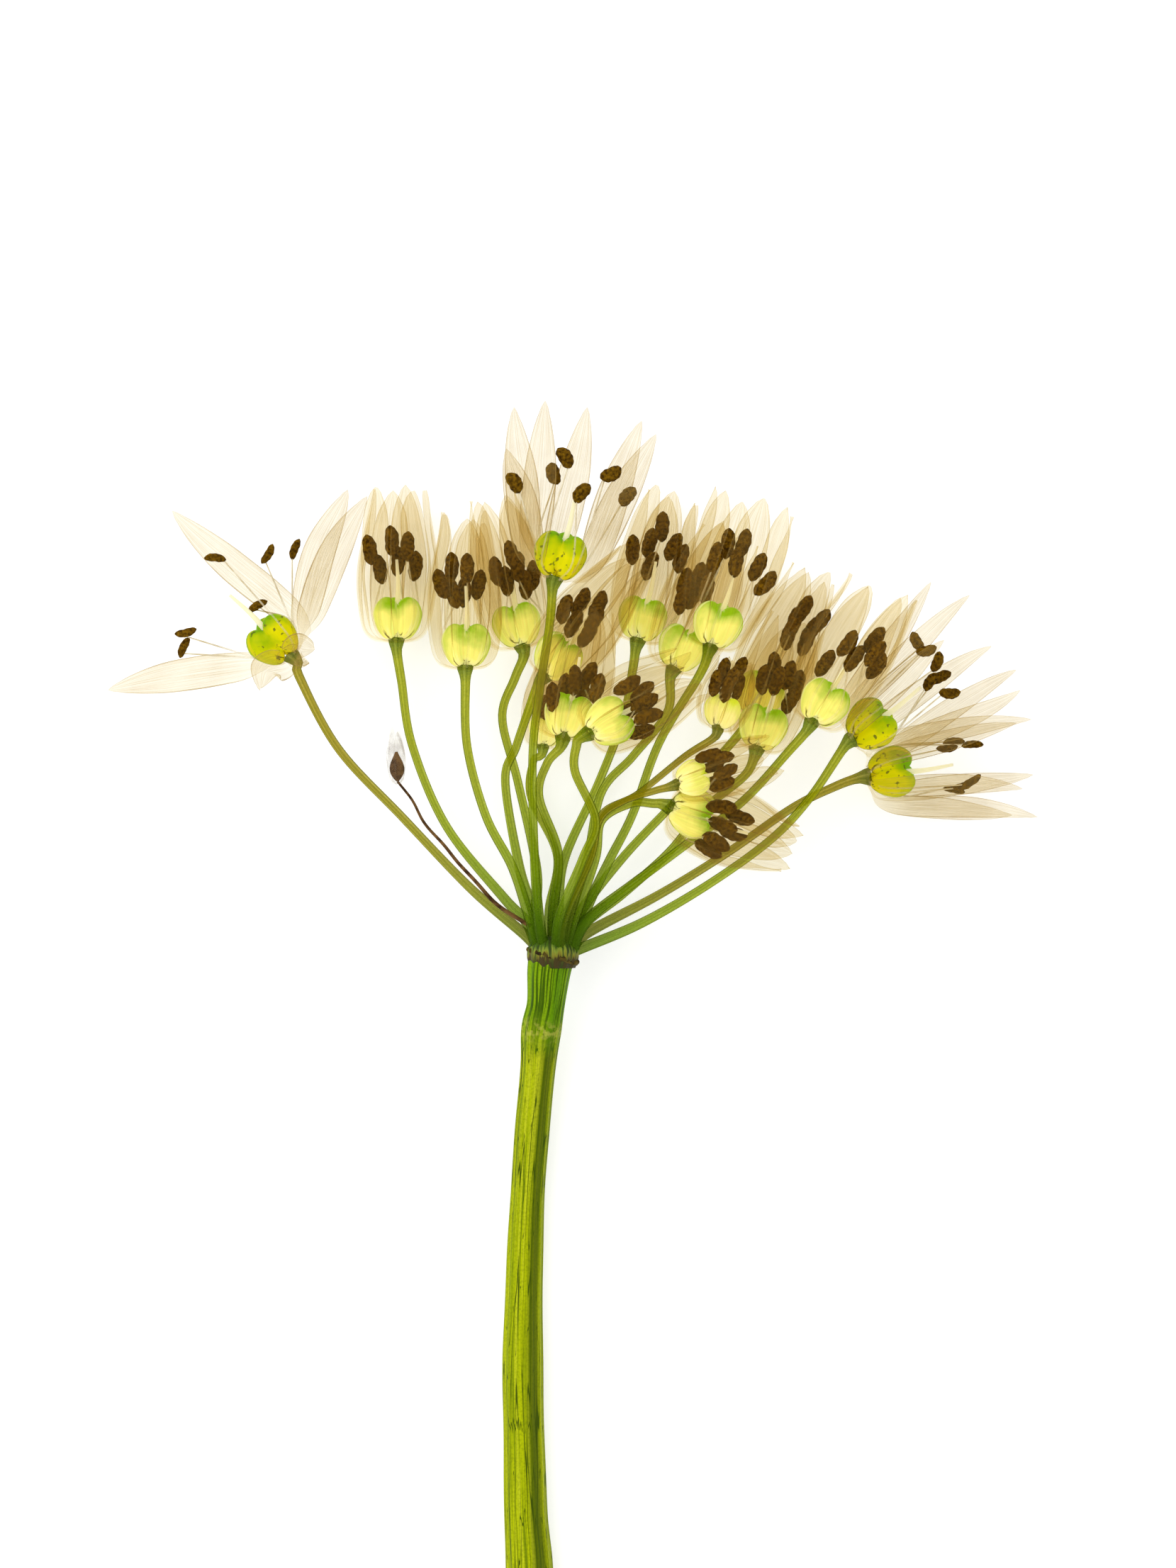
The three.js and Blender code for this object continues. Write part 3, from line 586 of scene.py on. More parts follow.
@dataclass(frozen=True)
class OvaryFinish:
    """Juicy yellow-green seed pod: pale at the foot, green at the top, dark veins rising, and a
    painted glow of its own colour that stands in for light shining through it.
    """

    name: str
    foot: tuple
    middle: tuple
    top: tuple
    speckle: float = 0.0
    # Strength of the painted glow: emission standing in for light shining through the pod.
    painted_glow: float = 0.5
    vein_tone: tuple = (0.1, 0.075, 0.004)
    spot_tone: tuple = (0.1, 0.11, 0.01)
    style_tone: tuple = (0.8, 0.76, 0.55)

    def material(self) -> bpy.types.Material:
        """Builds the material.

        Returns:
            The new material.
        """
        n = Nodes(self.name)
        u, v = n.uv()
        cloud = n.noise(600.0, 3.0)
        height = n.sum(v, n.levels(cloud, 0.3, 0.7, -0.12, 0.12))
        colour = n.ramp(height, [(0.06, self.foot), (0.34, self.middle), (0.5, self.middle),
                                 (0.74, self.top)])
        flank = n.flank(u)
        flank = n.product(n.levels(flank, 0.7, 1.0, 0.0, 0.75),
                       n.levels(v, 0.15, 0.5, 0.3, 1.0))
        colour = n.mix(flank, colour, self.top)
        fibres = n.noise(1.0, 3.0, (18.0, 1.6, 1.0), on_uv=True)
        colour = n.mix(n.levels(fibres, 0.52, 0.7, 0.0, 0.3), colour, self.top)
        colour = n.mix(n.levels(fibres, 0.46, 0.36, 0.0, 0.5), colour, self.foot)
        turn = n.math("FRACT", n.sum(n.product(u, 12.0),
                                      n.levels(cloud, 0.3, 0.7, 0.0, 0.6)))
        stroke = n.levels(n.distance(turn, 0.5), 0.05, 0.12, 1.0, 0.0)
        tall = n.sum(v, n.levels(n.noise(1.0, 1.0, (7.0, 0.2, 1.0), on_uv=True),
                                         0.3, 0.7, -0.1, 0.2))
        strokes = n.product(stroke, n.levels(tall, 0.34, 0.4, 0.9, 0.0))
        colour = n.mix(strokes, colour, self.vein_tone)
        spots = n.levels(n.noise(2600.0, 2.0), 0.62, 0.68, 0.0, self.speckle)
        colour = n.mix(spots, colour, self.spot_tone)
        style = n.levels(v, 1.05, 1.1, 0.0, 1.0)
        colour = n.mix(style, colour, self.style_tone)
        bump = n.add("Bump", {"Strength": 0.3, "Distance": 0.00008, "Height": cloud}).outputs[0]
        # The emission is a painted glow of the pod's own colour, standing in for light shining
        # through it.
        solid = n.add("BsdfPrincipled", {"Base Color": colour, "Roughness": 0.4, "Normal": bump,
                                         "Specular IOR Level": 0.06, "Emission Color": colour,
                                         "Emission Strength": self.painted_glow})
        glow = n.add("BsdfTranslucent", {"Color": colour, "Normal": bump}).outputs[0]
        return n.finish(n.blend(0.35, solid.outputs[0], glow))


@dataclass(frozen=True)
class StamenFinish:
    """White see-through filaments with brown, grainy pollen sacs."""

    name: str
    thread_cover: float
    sac: tuple = (0.06, 0.026, 0.001)
    thread_light: tuple = (0.8, 0.72, 0.52)
    thread_dark: tuple = (0.62, 0.5, 0.28)
    pit: tuple = (0.032, 0.013, 0.0004)
    crest: tuple = (0.19, 0.095, 0.003)

    def material(self) -> bpy.types.Material:
        """Builds the material.

        Returns:
            The new material.
        """
        n = Nodes(self.name)
        mark = n.add("Attribute", attribute_name="mark").outputs["Fac"]
        grain = n.noise(5200.0, 3.0)
        sac = n.mix(n.levels(grain, 0.35, 0.68, 0.0, 1.0), self.pit, self.crest)
        sac = n.mix(n.levels(n.noise(900.0, 1.0), 0.45, 0.7, 0.0, 0.6), sac, self.sac)
        thread = n.mix(n.levels(n.noise(1500.0, 2.0), 0.3, 0.7, 0.0, 1.0),
                       self.thread_light, self.thread_dark)
        colour = n.mix(mark, thread, sac)
        bump = n.add("Bump", {"Strength": 0.8, "Distance": 0.00008, "Height": grain}).outputs[0]
        solid = n.add("BsdfPrincipled", {"Base Color": colour, "Roughness": 0.9, "Normal": bump,
                                         "Specular IOR Level": 0.05})
        clear = n.add("BsdfTransparent").outputs[0]
        _, v = n.uv()
        thread_cover = n.levels(v, 0.45, 0.8, self.thread_cover * 0.2, self.thread_cover)
        cover = n.math("MAXIMUM", mark, thread_cover)
        return n.finish(n.blend(cover, clear, solid.outputs[0]))


@dataclass(frozen=True)
class ScapeFinish:
    """Thick ribbed stalk: bright yellow-green with pale lines and one dark green side."""

    bright: tuple = (0.48, 0.55, 0.001)
    deep: tuple = (0.25, 0.34, 0.0008)
    pale: tuple = (0.6, 0.64, 0.02)
    shade: tuple = (0.13, 0.2, 0.001)
    dark: tuple = (0.05, 0.085, 0.0005)
    # Painted shade for the two level sides of the stalk.
    painted_side_shade: tuple = (0.12, 0.17, 0.001)
    top_tone: tuple = (0.15, 0.36, 0.001)
    top_streak: tuple = (0.035, 0.085, 0.0005)
    fold_tone: tuple = (0.62, 0.58, 0.1)
    flesh_tone: tuple = (0.5, 0.56, 0.13)
    flesh_dot: tuple = (0.2, 0.27, 0.02)
    dark_strip: float = 0.16
    fold_place: float = 0.882

    def material(self) -> bpy.types.Material:
        """Builds the material.

        The thin dark lines are the contours where a noise that is drawn out lengthwise passes
        one half, so that they run along the stalk and close into long loops.

        Returns:
            The new material.
        """
        n = Nodes("scape_skin")
        u, v = n.uv()
        wide = n.noise(1.0, 2.0, (9.0, 1.2, 1.0), on_uv=True)
        lines = n.noise(1.0, 3.0, (40.0, 1.8, 1.0), on_uv=True)
        grain = n.noise(6500.0, 2.0)
        colour = n.mix(n.levels(wide, 0.45, 0.62, 0.0, 0.65), self.bright, self.deep)
        colour = n.mix(n.levels(lines, 0.53, 0.6, 0.0, 0.7), colour, self.pale)
        colour = n.mix(n.levels(lines, 0.45, 0.36, 0.0, 0.8), colour, self.shade)
        for stretch, thin in (((20.0, 3.0, 1.0), 0.012), ((34.0, 7.0, 1.0), 0.009)):
            loops = n.noise(1.0, 0.5, stretch, on_uv=True)
            near = n.distance(loops, 0.5)
            colour = n.mix(n.levels(near, thin * 0.7, thin * 1.5, 0.95, 0.0), colour, self.dark)
        strip = n.distance(u, self.dark_strip)
        colour = n.mix(n.levels(strip, 0.075, 0.03, 0.0, 0.8), colour, self.dark)
        flank = n.flank(u)
        # Painted shade: the two level sides of the stalk are darkened.
        colour = n.mix(n.levels(flank, 0.92, 1.0, 0.0, 0.6), colour, self.painted_side_shade)
        colour = n.mix(n.levels(v, 0.84, 0.9, 0.0, 0.75), colour, self.top_tone)
        streak = n.noise(1.0, 3.0, (52.0, 5.0, 1.0), on_uv=True)
        top = n.product(n.levels(streak, 0.5, 0.56, 0.0, 0.9),
                     n.levels(v, 0.82, 0.92, 0.0, 1.0))
        colour = n.mix(top, colour, self.top_streak)
        wrinkle = n.distance(v, self.fold_place)
        wrinkle = n.product(n.levels(wrinkle, 0.003, 0.02, 0.5, 0.0),
                         n.levels(n.noise(2600.0, 2.0), 0.45, 0.6, 0.0, 1.0))
        colour = n.mix(wrinkle, colour, self.fold_tone)
        colour = n.mix(n.levels(grain, 0.42, 0.7, 0.0, 0.3), colour, self.dark)
        cut = n.levels(v, -0.01, -0.05, 0.0, 1.0)
        dots = n.levels(n.noise(2200.0, 2.0), 0.56, 0.62, 0.0, 0.7)
        flesh = n.mix(dots, self.flesh_tone, self.flesh_dot)
        colour = n.mix(cut, colour, flesh)
        bump = n.add("Bump", {"Strength": 0.6, "Distance": 0.00012, "Height": lines}).outputs[0]
        solid = n.add("BsdfPrincipled", {"Base Color": colour, "Roughness": 0.5, "Normal": bump,
                                         "Specular IOR Level": 0.05})
        glow = n.add("BsdfTranslucent", {"Color": colour, "Normal": bump}).outputs[0]
        return n.finish(n.blend(0.2, solid.outputs[0], glow))


@dataclass(frozen=True)
class SleeveFinish:
    """Base of the umbel: dark green above, pale yellow streaks in the middle, brown below."""

    below: tuple = (0.045, 0.03, 0.002)
    low: tuple = (0.2, 0.19, 0.01)
    middle: tuple = (0.2, 0.26, 0.02)
    above: tuple = (0.05, 0.11, 0.001)
    streak_tone: tuple = (0.025, 0.04, 0.001)

    def material(self) -> bpy.types.Material:
        """Builds the material.

        Returns:
            The new material.
        """
        n = Nodes("umbel_sleeve")
        _, v = n.uv()
        streak = n.noise(1.0, 3.0, (46.0, 2.0, 1.0), on_uv=True)
        height = n.sum(v, n.levels(streak, 0.35, 0.65, -0.12, 0.12))
        colour = n.ramp(height, [(0.16, self.below), (0.26, self.low),
                                 (0.34, self.middle), (0.46, self.above)])
        colour = n.mix(n.levels(streak, 0.5, 0.57, 0.0, 0.85), colour, self.streak_tone)
        bump = n.add("Bump", {"Strength": 0.7, "Distance": 0.0001, "Height": streak}).outputs[0]
        solid = n.add("BsdfPrincipled", {"Base Color": colour, "Roughness": 0.6, "Normal": bump,
                                         "Specular IOR Level": 0.2})
        return n.finish(solid.outputs[0])


@dataclass(frozen=True)
class GroundFinish:
    """Two tones broken up by noise, for the umbel base, its scar and the withered flower."""

    name: str
    first: tuple
    second: tuple
    scale: float
    cover: float = 1.0

    def material(self) -> bpy.types.Material:
        """Builds the material.

        Returns:
            The new material.
        """
        n = Nodes(self.name)
        cloud = n.noise(self.scale, 4.0)
        colour = n.mix(n.levels(cloud, 0.38, 0.62, 0.0, 1.0), self.first, self.second)
        bump = n.add("Bump", {"Strength": 0.7, "Distance": 0.0001, "Height": cloud}).outputs[0]
        solid = n.add("BsdfPrincipled", {"Base Color": colour, "Roughness": 0.8, "Normal": bump,
                                         "Specular IOR Level": 0.1})
        if self.cover >= 1.0:
            return n.finish(solid.outputs[0])
        clear = n.add("BsdfTransparent").outputs[0]
        cover = n.levels(cloud, 0.4, 0.65, self.cover * 0.6, min(self.cover * 1.6, 0.95))
        return n.finish(n.blend(cover, clear, solid.outputs[0]))


# ------------------------------------------------------------------ the flower


@dataclass(frozen=True)
class TepalShape:
    """Sizes of a tepal: lengths in millimetres, shares of its length or half width."""

    rows: int = 34
    columns: int = 22
    closed_width: float = 2.75
    open_width: float = 2.3
    young_share: float = 0.72
    level_over: float = 0.3
    level_share: float = 0.93
    hook: float = 0.55
    ruffle: float = 0.16
    ripple: float = 0.05
    keel: float = 0.12
    keel_width: float = 0.22
    half_thickness: float = 0.055
    places: tuple = (0, 0.1, 0.25, 0.45, 0.65, 0.8, 0.9, 0.96, 1.0)
    closed_outline: tuple = (0.3, 0.62, 0.9, 1.0, 0.98, 0.84, 0.6, 0.36, 0.02)
    open_outline: tuple = (0.24, 0.55, 0.84, 0.96, 0.9, 0.66, 0.42, 0.24, 0.02)


@dataclass(frozen=True)
class OvaryShape:
    """Sizes of an ovary of full size and its style, in millimetres."""

    ball: float = 0.93
    offset: float = 0.84
    stretch: float = 1.5
    sharpness: int = 22
    rows: int = 30
    sides: int = 48
    style_thick: float = 0.2
    style_thin: float = 0.09


TEPAL = TepalShape()
OVARY = OvaryShape()

# How far the six pollen sacs stand above their flower's axis.
SAC_LIFTS = (0.95, -0.75, 0.35, -0.3, 0.75, -0.95)


@dataclass
class Flower:
    """One flower with its stalk. Lengths in millimetres."""

    number: int
    foot: np.ndarray
    yaw: float
    pitch: float
    roll: float = 0.0
    length: float = 9.8
    mouth: float = 1.5
    young: bool = False
    tips: Optional[list] = None
    anthers: Sequence[tuple] = ()
    breadth: Optional[float] = None

    def __post_init__(self) -> None:
        """Works out the axis and the two directions across it."""
        yaw, pitch = math.radians(self.yaw), math.radians(self.pitch)
        self.foot = np.asarray(self.foot, dtype=float)
        self.axis = np.array([math.sin(yaw) * math.cos(pitch), math.cos(yaw) * math.cos(pitch),
                              math.sin(pitch)])
        self.side = unit(np.cross(self.axis, [0.0, 0.0, 1.0]))
        self.up = np.cross(self.side, self.axis)
        self.flatness = 1.0 if self.tips else 0.84
        self.draw = np.random.default_rng(100 + self.number)

    @property
    def openness(self) -> Openness:
        """Whether the flower is a bud, a closed bell or an open star.

        Returns:
            The openness: a star where the tips are given, else a bud where it is young.
        """
        if self.tips:
            return Openness.STAR
        return Openness.BUD if self.young else Openness.BELL

    @property
    def label(self) -> str:
        """The flower's number as two digits."""
        return f"{self.number:02d}"

    @property
    def belly(self) -> float:
        """How far out the tepals pass the ovary."""
        return {Openness.BUD: 1.6, Openness.BELL: 2.15, Openness.STAR: 2.0}[self.openness]

    def outward(self, angle: float) -> np.ndarray:
        """The direction out from the axis at an angle."""
        return math.cos(angle) * self.side + self.flatness * math.sin(angle) * self.up

    def place(self, outward: np.ndarray, height: float, radius: float) -> np.ndarray:
        """A point at a height on the axis and a distance out from it."""
        return self.foot + height * self.axis + radius * outward

    def targets(self) -> list[tuple[np.ndarray, np.ndarray, float]]:
        """Where the six tepals go.

        Returns:
            For each one its tip, its outward direction and how far out its whorl lies.
        """
        if self.tips:
            found = []
            for k, tip in enumerate(self.tips):
                reach = np.asarray(tip) - self.foot
                out = unit(reach - reach.dot(self.axis) * self.axis)
                found.append((np.asarray(tip, dtype=float), out, 0.1 * (k % 2)))
            return found
        found = []
        for k in range(6):
            out = self.outward(math.radians(self.roll + 60 * k))
            whorl = 0.12 * (k % 2)
            height = self.length + self.draw.uniform(-0.5, 0.35)
            radius = self.mouth + whorl + self.draw.uniform(-0.25, 0.35)
            sway = np.cross(self.axis, out) * self.draw.uniform(-0.4, 0.4)
            found.append((self.place(out, height, radius) + sway, out, whorl))
        return found

    def tepal_grid(self, tip: np.ndarray, out: np.ndarray, whorl: float) -> np.ndarray:
        """One tepal as a thin closed blade.

        Its middle line leaves the stalk, swings out round the ovary and runs to the tip. Across
        it the blade follows an arc round the flower's axis, flattening towards the tip, with a
        shallow keel, ruffled edges that grow with the square of the distance from the middle,
        and a thickness that falls to nothing at the edge like a lens. The blade of an open
        flower also turns level along its length, and its tip is hooked to one side by the sixth
        power of the share of the length.

        Args:
            tip: where the tepal ends.
            out: the direction in which it leaves the axis.
            whorl: how much further out it lies than the inner three.

        Returns:
            A grid of rows along the blade by columns around its section.
        """
        rows, columns = TEPAL.rows, TEPAL.columns
        star = self.openness is Openness.STAR
        root = self.place(out, -0.05, 0.35)
        heel = self.place(out, 0.25, self.belly * 0.72 + whorl)
        belly = self.place(out, 1.5, self.belly + whorl)
        shoulder = belly + (tip - belly) * 0.42 + out * (0.2 if self.young else 0.5)
        if star:
            lean = float(np.clip((tip - self.foot) @ self.axis / 6, 0.05, 1.0))
            heel = self.place(out, 0.15 * lean, 0.95)
            belly = self.place(out, lean, 2.0)
            shoulder = belly + (tip - belly) * 0.5 + self.axis * self.draw.uniform(0.1, 0.7)
        line = smooth_line([root, heel, belly, shoulder, tip], rows)
        v = np.linspace(0, 1, rows)
        forward = unit(np.gradient(line, axis=0))
        tangential = unit(np.cross(self.axis, out))
        spin = self.draw.uniform(-0.5, 0.5) * (1.0 if star else 0.35)
        face = unit(np.cross(np.broadcast_to(tangential, forward.shape), forward))
        turn = (spin * v**2)[:, None]
        broad = unit(tangential * np.cos(turn) + face * np.sin(turn))
        if star:
            level = unit(np.cross(forward, np.array([0.0, 0.0, 1.0])))
            level = level * (1.0 if (level @ tangential).sum() >= 0 else -1.0)
            laid = np.clip(v / TEPAL.level_over, 0, 1)
            laid = (laid * laid * (3 - 2 * laid))[:, None] * TEPAL.level_share
            broad = unit(broad * (1 - laid) + level * laid)
        face = unit(np.cross(broad, forward))
        width = self.breadth or (TEPAL.open_width if star else TEPAL.closed_width)
        width *= TEPAL.young_share if self.young else 1.0
        if star:
            hook = self.draw.uniform(-TEPAL.hook, TEPAL.hook)
            line = line + hook * (v**6)[:, None] * broad
        outline = TEPAL.open_outline if star else TEPAL.closed_outline
        half = 0.5 * width * np.interp(v, TEPAL.places, outline)
        half = np.convolve(np.pad(half, 2, mode="edge"), np.ones(5) / 5, mode="valid")
        half[-1] = 0.02
        angle = np.linspace(0, 2 * math.pi, columns, endpoint=False)
        x = np.cos(angle)[None, :] * half[:, None]
        radial = np.abs((line - self.foot) @ out)
        bend = np.maximum(radial, 1.3)[:, None] * (1 + 1.6 * v[:, None] ** 3)
        if star:
            bend = (1.6 + 5.0 * v**1.3)[:, None] * np.ones((1, columns))
        lift = bend * (1 - np.cos(x / bend))
        across = bend * np.sin(x / bend)
        share = x / np.maximum(half[:, None], 1e-6)
        waves = self.draw.uniform(0, 2 * math.pi, 2)
        along = v[:, None]
        ruffle = TEPAL.ruffle * share**2 * np.sin(9 * along + waves[0] + 1.2 * share) * along
        ruffle += TEPAL.ripple * np.sin(17 * along + waves[1]) * np.abs(share) * along
        keel = -TEPAL.keel * np.exp(-(share / TEPAL.keel_width) ** 2) * np.sin(math.pi * along)
        fold = self.draw.uniform(0.0, 0.5) * half[:, None] * np.abs(share) * along**4
        section = np.sin(angle)[None, :] * np.minimum(1, 12 * half[:, None])
        rise = lift + ruffle + keel + fold + TEPAL.half_thickness * section
        spread = line[:, None, :] + across[..., None] * broad[:, None, :]
        return spread - rise[..., None] * face[:, None, :]

    def build_perianth(self, finish: bpy.types.Material) -> None:
        """Makes the six tepals as one piece.

        Args:
            finish: the tepal material.
        """
        surface = Surface()
        for tip, out, whorl in self.targets():
            grid = self.tepal_grid(tip, out, whorl)
            around = np.linspace(0, 2 * math.pi, grid.shape[1] + 1)
            surface.add(grid, (np.cos(around) + 1) / 2, np.linspace(0, 1, grid.shape[0]))
        surface.build(f"tepals_{self.label}", finish, Slot.TEPAL, [f"perianth_{self.label}"])

    def anther_grid(self, middle: np.ndarray, along: np.ndarray, length: float, width: float,
                    curl: float) -> np.ndarray:
        """A pollen sac: a blunt oblong, grooved down its length and bent by curl.

        The half width at share s of the half length is that of the middle times
        (1 - |s|^2.6)^0.55. The groove on either face is 1 - 0.2 * |cos(angle)|^8, and small sines
        of the angle and of s make it lumpy.

        Args:
            middle: its centre.
            along: its direction.
            length: its length.
            width: its width at the middle.
            curl: how far its ends bend aside, as a share of the length.

        Returns:
            A grid of rows along the sac by columns around it.
        """
        s = np.linspace(-1, 1, 13)
        radius = 0.5 * width * np.maximum(1 - np.abs(s) ** 2.6, 0.02) ** 0.55
        across = unit(np.cross(along, self.up + 0.3 * self.side))
        lift = np.cross(across, along)
        line = middle + 0.5 * length * s[:, None] * along
        line = line - curl * length * (s**2)[:, None] * across
        angle = np.linspace(0, 2 * math.pi, 14, endpoint=False)
        groove = 1 - 0.2 * np.abs(np.cos(angle)) ** 8
        lumps = 1 + 0.05 * np.sin(5 * angle + 3 * s[:, None])
        lumps += 0.06 * np.sin(3 * angle - 11 * s[:, None] + middle[0])
        ring = (np.cos(angle) * groove)[:, None] * lift * 0.75 + (np.sin(angle))[:, None] * across
        return line[:, None, :] + (radius[:, None] * lumps)[..., None] * ring[None, :, :]

    def build_stamens(self, finish: bpy.types.Material) -> None:
        """Makes the six stamens as one piece: a thread and a pollen sac each.

        Args:
            finish: the stamen material, which tells threads and sacs apart by their mark.
        """
        surface = Surface()
        star = self.openness is Openness.STAR
        for k, (x, y) in enumerate(self.anthers):
            flat = np.array([x - self.foot[0], y - self.foot[1]])
            height = float(flat @ self.axis[:2])
            lift = SAC_LIFTS[k] * (0.7 if self.young else 1.15) + (0.9 if star else 0.0)
            middle = np.array([x, y, self.foot[2] + height * self.axis[2] + lift])
            reach = middle - self.foot
            out = unit(reach - reach.dot(self.axis) * self.axis)
            if star:
                lean = math.radians(SAC_LEANS[self.number][k])
                rise = self.draw.uniform(-0.3, 0.3)
                tilt = unit(np.array([math.sin(lean), math.cos(lean), rise]))
                length, width = SAC_SIZES[self.number]
                curl = 0.06 * (-1) ** k
            else:
                lean = self.draw.uniform(-0.2, 0.2)
                spread = np.array([flat @ self.side[:2]]) * 0.12
                tilt = unit(self.axis + self.side * (lean + float(spread[0])))
                size = 0.88 if self.young else 1.0
                length, width, curl = 2.0 * size, 0.92 * size, self.draw.uniform(-0.05, 0.05)
            root = self.place(out, 0.1, 0.6)
            belly = self.place(out, 1.6, self.belly - 0.3)
            line = smooth_line([root, belly, middle - tilt * length * 0.3], 14)
            thread = tube_grid(line, np.linspace(0.1, 0.05, 14) * (0.8 if star else 1.0), 6)
            surface.add(thread, np.linspace(0, 1, 7), np.linspace(0, 1, 14), 0.0)
            sac = self.anther_grid(middle, tilt, length, width, curl)
            surface.add(sac, np.linspace(0, 1, 15), np.linspace(0, 1, 13), 1.0)
        surface.build(f"stamens_{self.label}", finish, Slot.ANTHER)

    def build_pistil(self, finish: bpy.types.Material) -> None:
        """Makes the three-lobed ovary and its style as one piece.

        The ovary is the outline of three equal balls that stand round the axis, two to the sides
        and one below. Seen from their common middle, the distance to a ball in the direction u
        is u.c + sqrt((u.c)^2 - c.c + R^2), and the three distances are joined by a soft maximum,
        the 22nd root of twice the mean of their 22nd powers. The body is drawn out along the axis
        and tapers towards the foot.

        Args:
            finish: the ovary material.
        """
        scale = 0.74 if self.young else (1.06 if self.openness is Openness.STAR else 1.0)
        ball, offset = OVARY.ball * scale, OVARY.offset * scale
        near_pole = 0.02
        s = np.linspace(near_pole, math.pi - near_pole, OVARY.rows)[:, None]
        angle = np.linspace(0, 2 * math.pi, OVARY.sides, endpoint=False)[None, :]
        way = np.stack([np.sin(s) * np.cos(angle), np.sin(s) * np.sin(angle),
                        -np.cos(s) + 0 * angle], axis=-1)
        jitter = math.radians(self.draw.uniform(-14, 14))
        lobes = np.radians([30.0, 150.0, 270.0]) + jitter
        centres = np.stack([offset * np.cos(lobes), offset * np.sin(lobes), 0 * lobes], axis=-1)
        toward = way @ centres.T
        reach = toward + np.sqrt(toward**2 - offset**2 + ball**2)
        power = OVARY.sharpness
        distance = ((reach**power).mean(axis=-1) * 2.0) ** (1 / power)
        body = way * distance[..., None]
        tall = OVARY.stretch * body[..., 2]
        share = (tall / (OVARY.stretch * ball) + 1) / 2
        narrow = 0.8 + 0.2 * np.clip(share / 0.6, 0, 1)
        height = tall + OVARY.stretch * ball + 0.12
        grid = (self.foot + height[..., None] * self.axis
                + (body[..., 0] * narrow)[..., None] * self.side
                + (body[..., 1] * narrow * 0.92)[..., None] * self.up)
        surface = Surface()
        surface.add(grid, np.linspace(0, 1, OVARY.sides + 1), np.linspace(0, 1, OVARY.rows))
        low = self.foot + self.axis * 1.9 * scale
        line = smooth_line([low, low + self.axis * 1.6 * scale + 0.1 * self.side,
                            low + self.axis * 3.4 * scale], 12)
        radii = np.linspace(OVARY.style_thick, OVARY.style_thin, 12) * scale
        style = tube_grid(line, radii, 8)
        surface.add(style, np.linspace(0, 1, 9), np.linspace(1.12, 1.4, 12))
        replaced = [] if self.young else [f"pistil_{self.label}"]
        surface.build(f"ovary_{self.label}", finish, Slot.OVARY, replaced)

    def build_pedicel(self, route: Sequence[tuple], finish: bpy.types.Material) -> None:
        """Makes the flower's stalk: a ribbed tube that widens into a cone under the flower.

        The cone and the thicker foot fall off as the exponential of minus the square of the
        distance from their end.

        Args:
            route: the places that the stalk passes through, from the umbel base.
            finish: the stalk material.
        """
        before = self.foot - 0.55 * self.axis
        first = np.asarray(route[0])
        inside = BASE_CENTRE + (first - BASE_CENTRE) * [0.55, 0.0, 0.55] + [-0.12, -0.95, 0.0]
        rows, sides, ribs, rib_depth = 60, 16, 5, 0.07
        along = np.linspace(0, 1, rows)
        line = smooth_line([inside, *route, before, self.foot + 0.25 * self.axis], rows)
        length = line_length(line)
        left = length * (1 - along)
        thin = 0.21 if self.young else 0.27
        cone = {Openness.BUD: 0.16, Openness.BELL: 0.24, Openness.STAR: 0.3}[self.openness]
        radii = thin + cone * np.exp(-((left / 0.6) ** 2)) + 0.04 * np.exp(-((left / 2.5) ** 2))
        radii += 0.09 * np.exp(-(((length - left) / 6.0) ** 2))
        grid = tube_grid(line, radii, sides, ribs, rib_depth, float(self.number))
        surface = Surface()
        surface.add(grid, np.linspace(0, 1, sides + 1), along)
        surface.build(f"stalk_{self.label}", finish, Slot.PEDICEL, [f"pedicel_{self.label}"])


# ------------------------------------------------------------------ stalk, base, withered flower


@dataclass
class Scape:
    """The thick stalk of the whole head."""

    ribs: int = 11
    rib_depth: float = 0.03
    rows: int = 120
    sides: int = 66
    end_rings: tuple = (0.03, 0.35, 0.7, 0.94)

    def build(self, finish: bpy.types.Material) -> None:
        """Makes the ribbed stalk, flat below where it lies.

        Its middle line rises to the umbel base by the square of the share of the way from where
        it leaves the surface.

        Args:
            finish: the material of the stalk's skin and cut end.
        """
        table = np.asarray(SCAPE_LINE)
        rise = BASE_CENTRE[2] - table[-1, 2]
        share = np.clip((table[:, 1] - SCAPE_REST_END) / (table[-1, 1] - SCAPE_REST_END), 0, None)
        flat = math.cos(math.pi / 12)
        knots = np.column_stack([table[:, 0], table[:, 1], table[:, 2] * flat + rise * share**2,
                                 table[:, 2]])
        knots = np.vstack([knots, [-0.3, -1.1, BASE_CENTRE[2], 1.5]])
        sampled = smooth_line(knots, self.rows)
        line, radii = sampled[:, :3], sampled[:, 3]
        radii = radii * (1 + 0.012 * np.sin(np.linspace(0, 37, self.rows)))
        grid = tube_grid(line, radii, self.sides, self.ribs, self.rib_depth)
        shrink = np.array(self.end_rings)[:, None, None]
        end_face = line[0] + (grid[0] - line[0]) * shrink
        end_face[..., 1] -= 0.05 * (1 - shrink[..., 0] ** 2)
        grid = np.concatenate([end_face, grid])
        grid[..., 2] = np.maximum(grid[..., 2], 0.0)
        along = np.concatenate([[-0.4, -0.3, -0.15, -0.05], np.linspace(0, 1, self.rows)])
        surface = Surface()
        surface.add(grid, np.linspace(0, 1, self.sides + 1), along)
        surface.build("stalk_main", finish, Slot.SCAPE, ["scape"])


